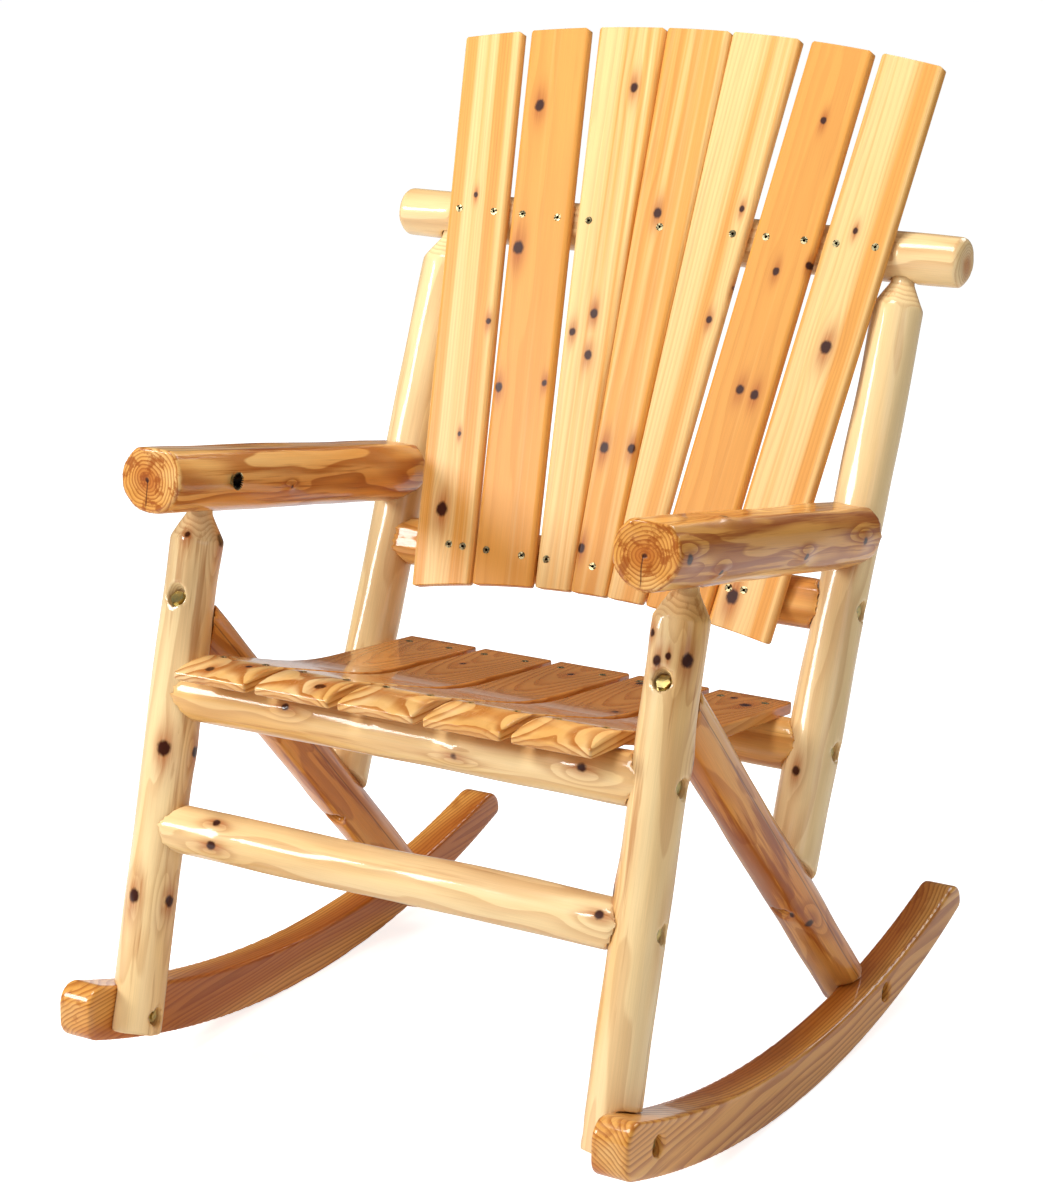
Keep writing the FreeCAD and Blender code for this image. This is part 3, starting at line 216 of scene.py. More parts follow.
class Bench:
    """A material's node tree and the few kinds of node that the finishes use."""

    def __init__(self, name):
        self.material = bpy.data.materials.new(name)
        self.material.use_nodes = True
        self.tree = self.material.node_tree
        self.shader = next(n for n in self.tree.nodes if n.type == "BSDF_PRINCIPLED")

    def feed(self, socket, value):
        """Link a socket to another one, or set it to a constant."""
        if isinstance(value, Wire):
            value = value.socket
        if isinstance(value, bpy.types.NodeSocket):
            self.tree.links.new(value, socket)
        elif socket.type == "RGBA":
            socket.default_value = (*value, 1) if len(value) == 3 else value
        else:
            socket.default_value = value

    def node(self, kind, settings=None, **inputs):
        """A node of a kind, its settings set and its inputs, by name or number, fed."""
        made = self.tree.nodes.new(f"ShaderNode{kind}")
        for key, value in (settings or {}).items():
            setattr(made, key, value)
        for key, value in inputs.items():
            spot = int(key[1:]) if key[1:].isdigit() else key.replace("_", " ")
            self.feed(made.inputs[spot], value)
        return made

    def math(self, operation, first, second=0.0):
        made = self.node("Math", {"operation": operation}, i0=first, i1=second)
        return Wire(self, made.outputs[0])

    def step(self, value, low, high):
        """0 below low, 1 above high, smooth between. Falls if low is above high."""
        made = self.node("MapRange", {"interpolation_type": "SMOOTHSTEP"}, Value=value)
        if low <= high:
            bounds = (low, high, 0, 1)
        else:
            bounds = (high, low, 1, 0)
        for key, number in zip(("From Min", "From Max", "To Min", "To Max"), bounds):
            made.inputs[key].default_value = number
        return Wire(self, made.outputs[0])

    def fade(self, value, width):
        """1 at 0 and falling off as a bell of this width."""
        ratio = value / width
        return self.math("EXPONENT", -(ratio * ratio))

    def blend(self, amount, first, second, how="MIX"):
        """Two colours mixed, the second by this amount."""
        return self.node("Mix", {"data_type": "RGBA", "blend_type": how}, Factor=amount,
                         i6=first, i7=second).outputs[2]

    def vector(self, operation, first, second):
        return self.node("VectorMath", {"operation": operation}, i0=first, i1=second).outputs

    def stretch(self, vector, scale):
        return self.vector("MULTIPLY", vector, scale)["Vector"]

    def noise(self, vector, scale, detail=2.0, rough=0.5):
        """A noise's factor, stretched by a scale for each axis."""
        made = self.node("TexNoise", None, Vector=self.stretch(vector, scale), Scale=1.0,
                         Detail=detail, Roughness=rough)
        return Wire(self, made.outputs[0])

    def knots(self, grain, knots):
        """Nearness to the knots' cores and halos, in radii, and how they part the rings.

        Each knot is a centre, a radius, the direction across the grain and whether it runs
        straight through a board.
        """
        core, halo, push = FAR, FAR, 0.0
        for centre, size, across, through in knots:
            apart = self.vector("SUBTRACT", grain, centre)["Vector"]
            deep = 0.0 if through else 1 / size
            reach = []
            for along in (CORE_ALONG, HALO_ALONG):
                scaled = self.stretch(apart, (1 / size, deep, along / size))
                reach.append(Wire(self, self.vector("LENGTH", scaled, (0, 0, 0))["Value"]))
            core = self.math("MINIMUM", core, reach[0])
            halo = self.math("MINIMUM", halo, reach[1])
            aside = Wire(self, self.vector("DOT_PRODUCT", apart, across)["Value"])
            push = aside * self.fade(reach[1], PARTING) + push
        return core, halo, push

    def parts(self, vector):
        made = self.node("SeparateXYZ", None, Vector=vector)
        return [Wire(self, socket) for socket in made.outputs]

    def attribute(self, name):
        return self.node("Attribute", {"attribute_name": name}).outputs["Vector"]


WOOD = {
    "ring": 0.0032,          # width of a year's ring
    "lines": 0.40,           # how dark the latewood lines are
    "wander": 0.006,         # how far the rings stray
    "heart": (0.0, 0.001),   # where heartwood ends, from the pith
    "patch": (18, 18, 1.7),  # how often the tone changes: across, in depth, along
    "edge": 0.20,            # how softly it changes
    "streaks": 0.35,         # strength of the amber streaks
    "streak_from": 0.56,     # lower is more of them
    "warmth": 0.5,           # share of honey
    "varnish": 1.0,          # above 1 the colours are deeper and darker: partly the varnish's depth, partly painted shade for pieces that lie in shade
    "crack": 0.0,            # depth of a crack along a log's side
    "check": 0.0,            # depth of the crack and the dark pith in a log's end
    "gloss": 0.26,           # roughness of the wood
    "coat": 0.60,            # weight of the varnish's own sheen
    "coat_rough": 0.06,
}

# How many cells of each pattern go to a metre: across, in depth and along the grain.
PATTERNS = {
    "stray": (16, 16, 2.6),
    "stray_too": (26, 26, 5.0),
    "year": (60, 60, 4),
    "season": (90, 1, 1),
    "fibre": (1500, 1500, 14),
    "streak": (75, 75, 3.2),
    "rim": (260, 260, 160),
    "glow": (420, 420, 18),
}
EARLY_TO_LATE, LATE_TO_EARLY = (0.30, 0.90), (1.0, 0.93)   # shares of a year's ring
STREAK_EDGE = 0.12
FIBRE_LEVELS = {"To_Min": 0.86, "To_Max": 1.12}
CRACK_WIDTH, CRACK_STRAY = 0.0007, 0.004
CHECK_END = (0.031, 0.024)         # how far from the pith a crack in a log's end runs
PITH_SIZE = (0.0036, 0.0014)
GRAIN_RELIEF, GRAIN_STRENGTH = 0.0006, 0.22
SPECULAR = 0.2


def wood(name, knots, **changes):
    """Varnished wood in the round: rings about the pith, cut wherever the surface cuts them."""
    recipe = {**WOOD, **changes}
    paint = bpy.context.scene.wood_colours
    bench = Bench(name)
    grain = bench.attribute("grain")
    across, depth, along = bench.parts(grain)
    core, halo, push = bench.knots(grain, knots)

    # The rings, which stray a little and part round the knots.
    stray = bench.noise(grain, PATTERNS["stray"], 2.0)
    stray_too = bench.noise(grain, PATTERNS["stray_too"], 1.0)
    x = across + (stray - 0.5) * recipe["wander"] * 2 - push
    y = depth + (stray_too - 0.5) * recipe["wander"]
    radius = bench.math("SQRT", x * x + y * y)
    year = radius / recipe["ring"] + bench.noise(grain, PATTERNS["year"], 1.0) * 0.8
    turn = bench.math("FRACT", year)
    late = bench.step(turn, *EARLY_TO_LATE) * bench.step(turn, *LATE_TO_EARLY)
    outward = bench.node("CombineXYZ", None, X=radius).outputs[0]
    seasons = bench.noise(outward, PATTERNS["season"], 1.0)
    late = late * (0.35 + seasons * 1.1)

    # Tones: broad patches, fine fibres, streaks of inner bark.
    broad = bench.noise(grain, recipe["patch"], 3.0)
    fibre = bench.noise(grain, PATTERNS["fibre"], 2.0, 0.6)
    streak = bench.noise(grain, PATTERNS["streak"], 4.0, 0.62)
    middle = 0.75 - recipe["warmth"] / 2
    tone = bench.step(broad, middle - recipe["edge"], middle + recipe["edge"])
    body = bench.blend(tone, list(paint.sapwood), list(paint.honey))
    heart = bench.step(radius, recipe["heart"][1], recipe["heart"][0])
    body = bench.blend(heart, body, list(paint.heartwood))
    body = bench.blend(late * recipe["lines"], body, list(paint.latewood))
    barks = bench.step(streak, recipe["streak_from"], recipe["streak_from"] + STREAK_EDGE)
    body = bench.blend(barks * recipe["streaks"], body, list(paint.amber))
    level = bench.node("MapRange", None, Value=fibre, **FIBRE_LEVELS).outputs[0]
    tint = bench.node("CombineColor", None, Red=level, Green=level, Blue=level).outputs[0]
    body = bench.blend(1.0, body, tint, "MULTIPLY")
    # Deeper, darker copies of the same wood: partly a thicker varnish, partly painted shade for
    # the pieces that lie in shade.
    body = bench.node("Gamma", None, Color=body, Gamma=recipe["varnish"]).outputs[0]

    # Knots: a streaked halo, a ring and a dark heart.
    ragged = core + (bench.noise(grain, PATTERNS["rim"], 2.0) - 0.5) * 0.4
    glow = bench.fade(halo, 1.1) * (0.45 + bench.noise(grain, PATTERNS["glow"], 1.0))
    body = bench.blend(glow * 0.9, body, list(paint.halo))
    body = bench.blend(bench.step(ragged, 1.0, 0.55), body, list(paint.knot))

    # A crack along the log's side, a crack from the pith in its end, and the dark pith.
    jagged = (stray_too - 0.5) * CRACK_STRAY
    crack = bench.fade(depth + jagged, CRACK_WIDTH) * bench.step(across, 0.0, 0.004)
    crack = crack * recipe["crack"]
    check = bench.fade(across + jagged, CRACK_WIDTH) * bench.step(depth, -0.001, 0.003)
    check = check * bench.step(radius, *CHECK_END) + bench.step(radius, *PITH_SIZE)
    crack = bench.math("MAXIMUM", crack, check * recipe["check"])
    body = bench.blend(crack, body, list(paint.knot))

    # The varnish follows the grain a little.
    rough = recipe["gloss"] + late * 0.05 + fibre * 0.10
    height = fibre * 0.25 - late * 0.35 - bench.step(ragged, 0.9, 0.6) * 0.8 - crack * 3.0
    bump = bench.node("Bump", None, Strength=GRAIN_STRENGTH, Distance=GRAIN_RELIEF,
                      Height=height)
    shader = bench.shader
    bench.feed(shader.inputs["Base Color"], body)
    bench.feed(shader.inputs["Roughness"], rough)
    bench.feed(shader.inputs["Normal"], bump.outputs[0])
    shader.inputs["Coat Weight"].default_value = recipe["coat"]
    shader.inputs["Coat Roughness"].default_value = recipe["coat_rough"]
    shader.inputs["Specular IOR Level"].default_value = SPECULAR
    return bench.material


def metal(name, tint, stain, rough):
    """Plated steel with a faint uneven film. What the attribute "recess" marks is painted black,
    as painted shade in the drivers' recesses.
    """
    bench = Bench(name)
    place = bench.node("TexCoord").outputs["Object"]
    film = bench.noise(place, (160, 160, 160), 2.0)
    body = bench.blend(bench.step(film, 0.35, 0.7), tint, stain)
    # Painted shade: the drivers' recesses are painted near black.
    recess = bench.node("Attribute", {"attribute_name": "recess"}).outputs["Fac"]
    bench.feed(bench.shader.inputs["Base Color"], bench.blend(recess, body, (0.01, 0.008, 0.006)))
    bench.feed(bench.shader.inputs["Roughness"], rough + film * 0.15)
    bench.shader.inputs["Metallic"].default_value = 1.0
    return bench.material


# ------------------------------------------------------------------ shaping

def only(obj):
    """Make an object the only one selected, and active."""
    bpy.ops.object.select_all(action="DESELECT")
    obj.select_set(True)
    bpy.context.view_layer.objects.active = obj


def settle(obj, matrix):
    """Move an object by a matrix and leave its place in its mesh."""
    obj.matrix_world = matrix
    only(obj)
    bpy.ops.object.transform_apply(location=True, rotation=True, scale=True)


def apply_modifier(obj, kind, **settings):
    """Add a modifier, set it up and apply it."""
    only(obj)
    bpy.ops.object.modifier_add(type=kind)
    modifier = obj.modifiers[-1]
    for key, value in settings.items():
        setattr(modifier, key, value)
    bpy.ops.object.modifier_apply(modifier=modifier.name)


def rough_out(node, name, place):
    """A copy of a CAD node in its grain's frame, its loose triangles merged."""
    source = frame["nodes"][node]
    obj = source.copy()
    obj.data = source.data.copy()
    obj.name = name
    obj.data.name = name
    obj.parent = None
    for key in list(obj.keys()):
        del obj[key]
    bpy.context.scene.collection.objects.link(obj)
    settle(obj, place.inverted())
    bpy.ops.object.mode_set(mode="EDIT")
    bpy.ops.mesh.select_all(action="SELECT")
    bpy.ops.mesh.remove_doubles(threshold=TOUCHING)
    bpy.ops.object.mode_set(mode="OBJECT")
    return obj


def remesh(obj):
    """Even square cells over the whole piece, smoothed, which also softens its edges."""
    cell = bpy.context.scene.log_shape.log_cell
    apply_modifier(obj, "REMESH", mode="VOXEL", voxel_size=cell, adaptivity=0.0)
    apply_modifier(obj, "SMOOTH", factor=0.5, iterations=3)


def bevel_edges(obj, chosen, width, segments):
    """Bevel those sharp edges that a test on their two ends chooses."""
    only(obj)
    bpy.ops.object.mode_set(mode="EDIT")
    bpy.ops.mesh.select_mode(type="EDGE")
    bpy.ops.mesh.select_all(action="DESELECT")
    bpy.ops.mesh.edges_select_sharp(sharpness=SHARP)
    bpy.ops.object.mode_set(mode="OBJECT")
    points = points_of(obj)
    for edge in obj.data.edges:
        if edge.select:
            edge.select = bool(chosen(*(points[index] for index in edge.vertices)))
    bpy.ops.object.mode_set(mode="EDIT")
    bpy.ops.mesh.bevel(offset=width, segments=segments, affect="EDGES", clamp_overlap=False)
    bpy.ops.object.mode_set(mode="OBJECT")


def long_edge(first, last):
    """True for a piece's own edges, and not for the short ones round its screw holes."""
    return np.linalg.norm(last - first) > SCREW_HOLE_EDGE


def join_facets(obj):
    """Make one face of the triangles that lie in one plane."""
    only(obj)
    bpy.ops.object.mode_set(mode="EDIT")
    bpy.ops.mesh.select_all(action="SELECT")
    bpy.ops.mesh.dissolve_limited(angle_limit=COPLANAR)
    bpy.ops.object.mode_set(mode="OBJECT")


def round_board(obj, joints):
    """Round a back board's corners and edges, but not the sides where it is glued to the next.

    The sides are told by the sign of their X, in the board's own frame.
    """
    shape = bpy.context.scene.log_shape
    middle = points_of(obj)[:, 2].mean()

    def runs(first, last, axis):
        return abs((last - first)[axis]) > 0.9 * np.linalg.norm(last - first)

    def on_joint(first, last):
        return runs(first, last, 2) and np.sign(first[0] + last[0]) in joints

    def corner(upper):
        def chosen(first, last):
            free = np.sign(first[0]) not in joints
            at_end = (first[2] > middle) == upper
            return runs(first, last, 1) and free and at_end and long_edge(first, last)
        return chosen

    def free_edge(first, last):
        in_face = abs((last - first)[1]) < 0.004
        return long_edge(first, last) and not on_joint(first, last) and in_face

    def glued_edge(first, last):
        return long_edge(first, last) and on_joint(first, last)

    bevel_edges(obj, corner(True), shape.head_corner, 5)
    bevel_edges(obj, corner(False), shape.foot_corner, 3)
    bevel_edges(obj, free_edge, shape.board_edge, 3)
    if joints:
        bevel_edges(obj, glued_edge, shape.glue_line, 1)


def points_of(obj):
    """A mesh's points, a row to each."""
    flat = np.empty(len(obj.data.vertices) * 3, np.float32)
    obj.data.vertices.foreach_get("co", flat)
    return flat.reshape(-1, 3)


def wave(obj, shift, size, strength, stretch):
    """Raise and sink the surface by a soft pattern that is stretched along the grain."""
    clouds = bpy.data.textures.new(f"{obj.name}_clouds", "CLOUDS")
    clouds.noise_scale = size
    clouds.noise_depth = 1
    clouds.cloud_type = "GRAYSCALE"
    bpy.ops.object.empty_add(location=(0.1 * shift, 0.3, 0.7))
    guide = bpy.context.object
    guide.scale = (1, 1, stretch)
    bpy.context.view_layer.update()
    apply_modifier(obj, "DISPLACE", texture=clouds, texture_coords="OBJECT",
                   texture_coords_object=guide, strength=strength, mid_level=0.5)
    bpy.data.objects.remove(guide)


def swell_knots(obj, knots, rise):
    """Raise a log's surface round each knot."""
    points = points_of(obj)
    group = obj.vertex_groups.new(name="knots")
    for centre, size, _, _ in knots:
        apart = np.linalg.norm((points - np.array(centre, np.float32)) * (1, 1, 0.6), axis=1)
        weight = np.exp(-(apart / (size * 2.0)) ** 2)
        for index in np.nonzero(weight > 0.05)[0]:
            group.add([int(index)], float(weight[index]), "ADD")
    apply_modifier(obj, "DISPLACE", strength=rise, mid_level=0.0, vertex_group="knots")
    obj.vertex_groups.clear()


def write_grain(obj, origin):
    """Keep each point's place in the wood, from its pith, on the mesh."""
    layer = obj.data.attributes.new("grain", "FLOAT_VECTOR", "POINT")
    layer.data.foreach_set("vector", (points_of(obj) - np.array(origin, np.float32)).ravel())


def from_pith(knots, origin):
    """The knots, their centres measured from the pith."""
    return [([c - o for c, o in zip(centre, origin)], *rest) for centre, *rest in knots]


def finish_piece(obj, node, place, material, crisp=False):
    """Put a shaped piece in its place on the chair, in its own wood."""
    settle(obj, place)
    obj.data.materials.clear()
    obj.data.materials.append(material)
    only(obj)
    bpy.ops.object.shade_smooth_by_angle(angle=math.radians(50))
    for modifier in list(obj.modifiers):
        bpy.ops.object.modifier_apply(modifier=modifier.name)
    if crisp:
        apply_modifier(obj, "WEIGHTED_NORMAL", mode="FACE_AREA", weight=100, keep_sharp=True)
    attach(obj, "root")
    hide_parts(node)


def finish_wood(obj, node, place, knots, origin, crisp=False, **recipe):
    """Finish a piece in wood of its own, cut from the place in the tree that origin gives."""
    write_grain(obj, origin)
    material = wood(node + "_wood", from_pith(knots, origin), **recipe)
    finish_piece(obj, node, place, material, crisp)


def round_knots(radius, marks):
    """Knots on a log, from their place along it, their angle in degrees and their size."""
    knots = []
    for along, angle, size in marks:
        turn = math.radians(angle)
        knots.append(((radius * math.cos(turn), radius * math.sin(turn), along), size,
                      (-math.sin(turn), math.cos(turn), 0), False))
    return knots


def hewn_log(node, place, radius, seed, marks, pith=(0.002, -0.003), **recipe):
    """A peeled log: the CAD log with wandering girth, peeling marks and raised knots."""
    shape = bpy.context.scene.log_shape
    obj = rough_out(node, node + "_log", place)
    remesh(obj)
    knots = round_knots(radius, marks)
    wave(obj, seed % 7 + 1, shape.swell_width, shape.swell, stretch=2.0)
    wave(obj, seed % 5 + 2, shape.hewing_width, shape.hewing, stretch=5.0)
    swell_knots(obj, knots, shape.knot_rise)
    finish_wood(obj, node, place, knots, (*pith, -seed * 1.7), **recipe)


def flat_knots(marks, foot, slope):
    """Knots on a back board, from their X and their height up the back."""
    knots = []
    for x, height, size in marks:
        up = height - BOARD_SPAN[0]
        along = up / math.cos(slope)
        across = (x - foot - up * math.tan(slope)) * math.cos(slope)
        knots.append(((across, 0.0, along + across * math.tan(slope)), size, (1, 0, 0), True))
    return knots


HEAD_AREA = 3e-5                   # a screw's head is its only face larger than this
RECESS_RIM, RECESS_TAPER, RECESS_DEPTH = 0.0025, 0.0001, 0.0016


def sink_recesses(obj):
    """Sink a driver's recess into every screw head of a node."""
    for face in obj.data.polygons:
        face.select = face.area > HEAD_AREA
    bpy.ops.object.mode_set(mode="EDIT")
    bpy.ops.mesh.select_mode(type="FACE")
    bpy.ops.mesh.inset(thickness=RECESS_RIM, use_individual=True)
    bpy.ops.mesh.inset(thickness=RECESS_TAPER, depth=-RECESS_DEPTH, use_individual=True)
    bpy.ops.object.mode_set(mode="OBJECT")
    # Mark the recesses' points for painted shade: the metal paints them near black.
    painted_shade = obj.data.attributes.new("recess", "FLOAT", "POINT")
    for face in obj.data.polygons:
        if face.select:
            for index in face.vertices:
                painted_shade.data[index].value = 1.0


# ------------------------------------------------------------------ operators

class CHAIR_OT_front_posts(bpy.types.Operator):
    """Hew the two front posts"""
    bl_idname = "chair.front_posts"
    bl_label = "Front Posts"

    def execute(self, context):
        marks = {
            "left": [(-0.082, -123, 0.005), (-0.107, -102, 0.006), (-0.103, -43, 0.008),
                     (-0.101, -80, 0.004), (-0.200, 24, 0.006), (-0.330, -150, 0.007),
                     (-0.420, 100, 0.008)],
            "right": [(-0.059, -78, 0.005), (-0.063, 9, 0.008), (-0.281, -68, 0.009),
                      (-0.283, 5, 0.007), (-0.437, -93, 0.008), (-0.439, -13, 0.007),
                      (-0.300, 140, 0.008)],
        }
        for number, side in enumerate(SIDES):
            hewn_log(f"front_post_{side}", side_log(side, ARM_JOINT, lean(FRONT_LEAN)),
                     FRONT_POST_RADIUS, 3 + number, marks[side],
                     streaks=0.55, streak_from=0.55, lines=0.35, warmth=0.35)
        return {"FINISHED"}


class CHAIR_OT_rear_posts(bpy.types.Operator):
    """Hew the two rear posts"""
    bl_idname = "chair.rear_posts"
    bl_label = "Rear Posts"

    def execute(self, context):
        marks = {
            "left": [(-0.330, -60, 0.006), (-0.560, -95, 0.006), (-0.180, 110, 0.008)],
            "right": [(-0.300, -80, 0.005), (-0.480, 120, 0.008)],
        }
        for number, side in enumerate(SIDES):
            hewn_log(f"rear_post_{side}", side_log(side, TOP_BAR, lean(BACK_LEAN)),
                     REAR_POST_RADIUS, 5 + number, marks[side],
                     streaks=0.35, streak_from=0.60, lines=0.30, warmth=0.35)
        return {"FINISHED"}


class CHAIR_OT_braces(bpy.types.Operator):
    """Hew the two slanting braces, planed flat along the top"""
    bl_idname = "chair.braces"
    bl_label = "Braces"

    def execute(self, context):
        marks = {
            "left": [(0.418, 69, 0.006), (0.446, 42, 0.007), (0.120, -160, 0.007)],
            "right": [(0.250, -10, 0.006), (0.380, 160, 0.007)],
        }
        for number, side in enumerate(SIDES):
            # The braces' deep varnish is partly painted shade: they lie in shade under the
            # armrests.
            hewn_log(f"brace_{side}", side_log(side, BRACE_HEAD, lean(90 + BRACE_FALL)),
                     BRACE_RADIUS, 8 + number, marks[side], pith=(0.001, 0.002),
                     streaks=0.6, streak_from=0.50, warmth=0.75, varnish=1.75, crack=0.6)
        return {"FINISHED"}


class CHAIR_OT_armrests(bpy.types.Operator):
    """Hew the two armrests, planed flat on top, their growth rings showing in front"""
    bl_idname = "chair.armrests"
    bl_label = "Armrests"

    def execute(self, context):
        marks = {
            "left": [(0.097, 29, 0.004), (0.290, 19, 0.005), (0.433, 3, 0.006),
                     (0.123, -62, 0.005), (0.018, 2, 0.007)],
            "right": [(0.205, 14, 0.0030), (0.340, 120, 0.007)],
        }
        for number, side in enumerate(SIDES):
            # The armrests' deeper varnish is partly painted shade, for their shaded sides.
            hewn_log(f"armrest_{side}", side_log(side, ARM_FRONT, lean(90 + ARM_FALL)),
                     ARM_RADIUS, 11 + number, marks[side], pith=(-0.003, 0.002),
                     ring=0.0036, lines=0.75, wander=0.009, heart=(0.004, 0.024),
                     streaks=0.75, streak_from=0.50, warmth=0.85, varnish=1.35, check=0.9)
        return {"FINISHED"}


class CHAIR_OT_cross_logs(bpy.types.Operator):
    """Hew the seat rails, the stretcher and the two crossbars of the back"""
    bl_idname = "chair.cross_logs"
    bl_label = "Cross Logs"

    def execute(self, context):
        # node: axis (Y, Z), radius, changes to the wood, knots
        logs = {
            "front_seat_rail": (
                FRONT_RAIL, RAIL_RADIUS, {"streaks": 0.5},
                [(0.071, -177, 0.005), (0.210, 157, 0.006), (-0.128, 150, 0.005)]),
            "front_stretcher": (
                STRETCHER, STRETCHER_RADIUS, {"streaks": 0.3, "warmth": 0.2},
                [(-0.197, 125, 0.005), (-0.196, 178, 0.006), (0.248, 145, 0.006)]),
            # The rear seat rail and the lower back crossbar get deeper varnish, partly painted
            # shade: they lie under and behind the seat.
            "rear_seat_rail": (
                REAR_RAIL, RAIL_RADIUS, {"streaks": 0.6, "varnish": 1.6},
                [(0.1, 30, 0.007)]),
            "lower_back_crossbar": (
                LOWER_BAR, RAIL_RADIUS, {"streaks": 0.6, "varnish": 1.6},
                [(-0.09, 60, 0.008)]),
            "top_crossbar": (
                TOP_BAR, RAIL_RADIUS,
                {"heart": (0.004, 0.018), "lines": 0.4, "streaks": 0.3, "warmth": 0.3},
                [(0.05, 40, 0.008), (-0.2, -20, 0.006)]),
        }
        for number, (node, (place, radius, recipe, marks)) in enumerate(logs.items()):
            hewn_log(node, cross_log(place), radius, 14 + number, marks, **recipe)
        return {"FINISHED"}


class CHAIR_OT_rockers(bpy.types.Operator):
    """Saw the two rockers from straight-grained planks"""
    bl_idname = "chair.rockers"
    bl_label = "Rockers"

    def execute(self, context):
        # knots: Y, Z, size
        marks = {"left": [(0.14, -0.02, 0.006)],
                 "right": [(0.042, 0.071, 0.006), (0.241, 0.081, 0.009)]}
        for number, (side, sign) in enumerate(SIDES.items()):
            node = f"rocker_{side}"
            place = grain_frame((sign * ROCKER_X, 0, ROCKER_HEIGHT), (0, 1, 0.03), (0, 0, 1))
            obj = rough_out(node, node + "_plank", place)
            remesh(obj)
            knots = [((z - ROCKER_HEIGHT, -sign * 0.02, y), size, (1, 0, 0), True)
                     for y, z, size in marks[side]]
            origin = (0.012, -0.035 * sign, -21.3 - number * 1.9)
            # The rockers' deeper varnish is partly painted shade, for their shaded outer sides.
            finish_wood(obj, node, place, knots, origin, ring=0.0042, lines=0.7, wander=0.008,
                        heart=(0.03, 0.05), streaks=0.4, streak_from=0.55, warmth=0.85,
                        varnish=1.35)
        return {"FINISHED"}


class CHAIR_OT_seat(bpy.types.Operator):
    """Saw the five dished seat slats"""
    bl_idname = "chair.seat"
    bl_label = "Seat Slats"

    def execute(self, context):
        # knots: across, Y, size
        marks = {
            1: [(-0.010, -0.325, 0.006), (0.020, -0.300, 0.004)],
            2: [(0.020, -0.318, 0.007), (-0.015, 0.020, 0.004)],
            3: [(0.000, 0.060, 0.005)],
            4: [(-0.020, 0.075, 0.006), (0.030, -0.080, 0.005)],
            5: [(0.015, 0.060, 0.008), (-0.010, 0.085, 0.005)],
        }
        piths = {1: 0.006, 2: -0.012, 3: 0.002, 4: 0.010, 5: -0.004}   # across each slat
        shape = context.scene.log_shape
        for number in marks:
            node = f"seat_slat_{number}"
            middle = (number - 3) * SLAT_PITCH
            place = grain_frame((middle, 0, SLAT_HEIGHT), (0, 1, 0))
            obj = rough_out(node, node + "_slat", place)
            join_facets(obj)
            bevel_edges(obj, long_edge, shape.slat_edge, 4)
            knots = [((x, 0.0, y), size, (1, 0, 0), True) for x, y, size in marks[number]]
            origin = (piths[number], 0.055, -30 - number * 2.3)
            finish_wood(obj, node, place, knots, origin, crisp=True, ring=0.0052, lines=0.85,
                        wander=0.006, heart=(0.07, 0.10), streaks=0.3, warmth=0.7,
                        varnish=1.05, gloss=0.16)
        return {"FINISHED"}


class CHAIR_OT_back(bpy.types.Operator):
    """Plane the boards of the fanned back"""
    bl_idname = "chair.back"
    bl_label = "Back Boards"

    def execute(self, context):
        # node: foot X, head X, knots (X, up the back, size), pith, changes to the wood
        boards = {
            "back_board_1": (-0.1815, -0.2602, [
                (-0.238, 0.939, 0.0035), (-0.189, 0.796, 0.004), (-0.197, 0.665, 0.003),
                (-0.200, 0.578, 0.009)], (0.10, 0.05), {}),
            "back_board_2": (-0.1047, -0.1750, [
                (-0.179, 1.048, 0.0075), (-0.170, 0.883, 0.0085), (-0.159, 0.723, 0.006),
                (-0.103, 0.734, 0.004)], (0.02, 0.16), {"warmth": 0.75, "varnish": 1.35}),
            "centre_stave_1": (-0.0427, -0.0833, [
                (-0.065, 1.076, 0.006), (-0.059, 0.818, 0.006), (-0.081, 0.795, 0.005),
                (-0.056, 0.771, 0.006)], (-0.05, 0.12), {"warmth": 0.45}),
            "centre_stave_2": (0.0, 0.0, [
                (-0.006, 0.937, 0.0065), (-0.014, 0.671, 0.007), (0.019, 0.674, 0.006),
                (-0.018, 0.558, 0.006)], (0.03, 0.20), {"warmth": 0.6}),
            "centre_stave_3": (0.0427, 0.0833, [
                (0.094, 0.950, 0.004), (0.102, 0.863, 0.004), (0.081, 0.825, 0.0045)],
                (-0.09, 0.07), {"warmth": 0.55}),
            "back_board_3": (0.1047, 0.1750, [
                (0.169, 1.054, 0.0045), (0.148, 0.885, 0.005), (0.184, 0.895, 0.0045),
                (0.133, 0.753, 0.006), (0.151, 0.749, 0.006)], (0.01, 0.13),
                {"warmth": 0.9, "varnish": 1.35}),
            "back_board_4": (0.1815, 0.2602, [
                (0.222, 0.809, 0.008), (0.230, 0.937, 0.004), (0.171, 0.531, 0.009)],
                (-0.07, 0.10), {"warmth": 0.45}),
        }
        joints = {"centre_stave_1": [1], "centre_stave_2": [-1, 1], "centre_stave_3": [-1]}
        recipe = {"ring": 0.0034, "lines": 0.14, "wander": 0.004, "streaks": 0.10,
                  "patch": (70, 30, 0.5), "edge": 0.12, "gloss": 0.40, "coat": 0.12,
                  "coat_rough": 0.25, "varnish": 1.35}
        for number, (node, (foot, head, marks, pith, changes)) in enumerate(boards.items()):
            place = board_frame(foot, head)
            obj = rough_out(node, node + "_board", place)
            join_facets(obj)
            round_board(obj, joints.get(node, []))
            slope = math.atan((head - foot) / (BOARD_SPAN[1] - BOARD_SPAN[0]))
            finish_wood(obj, node, place, flat_knots(marks, foot, slope),
                        (*pith, -50 - number * 3.1), crisp=True, **{**recipe, **changes})
        return {"FINISHED"}


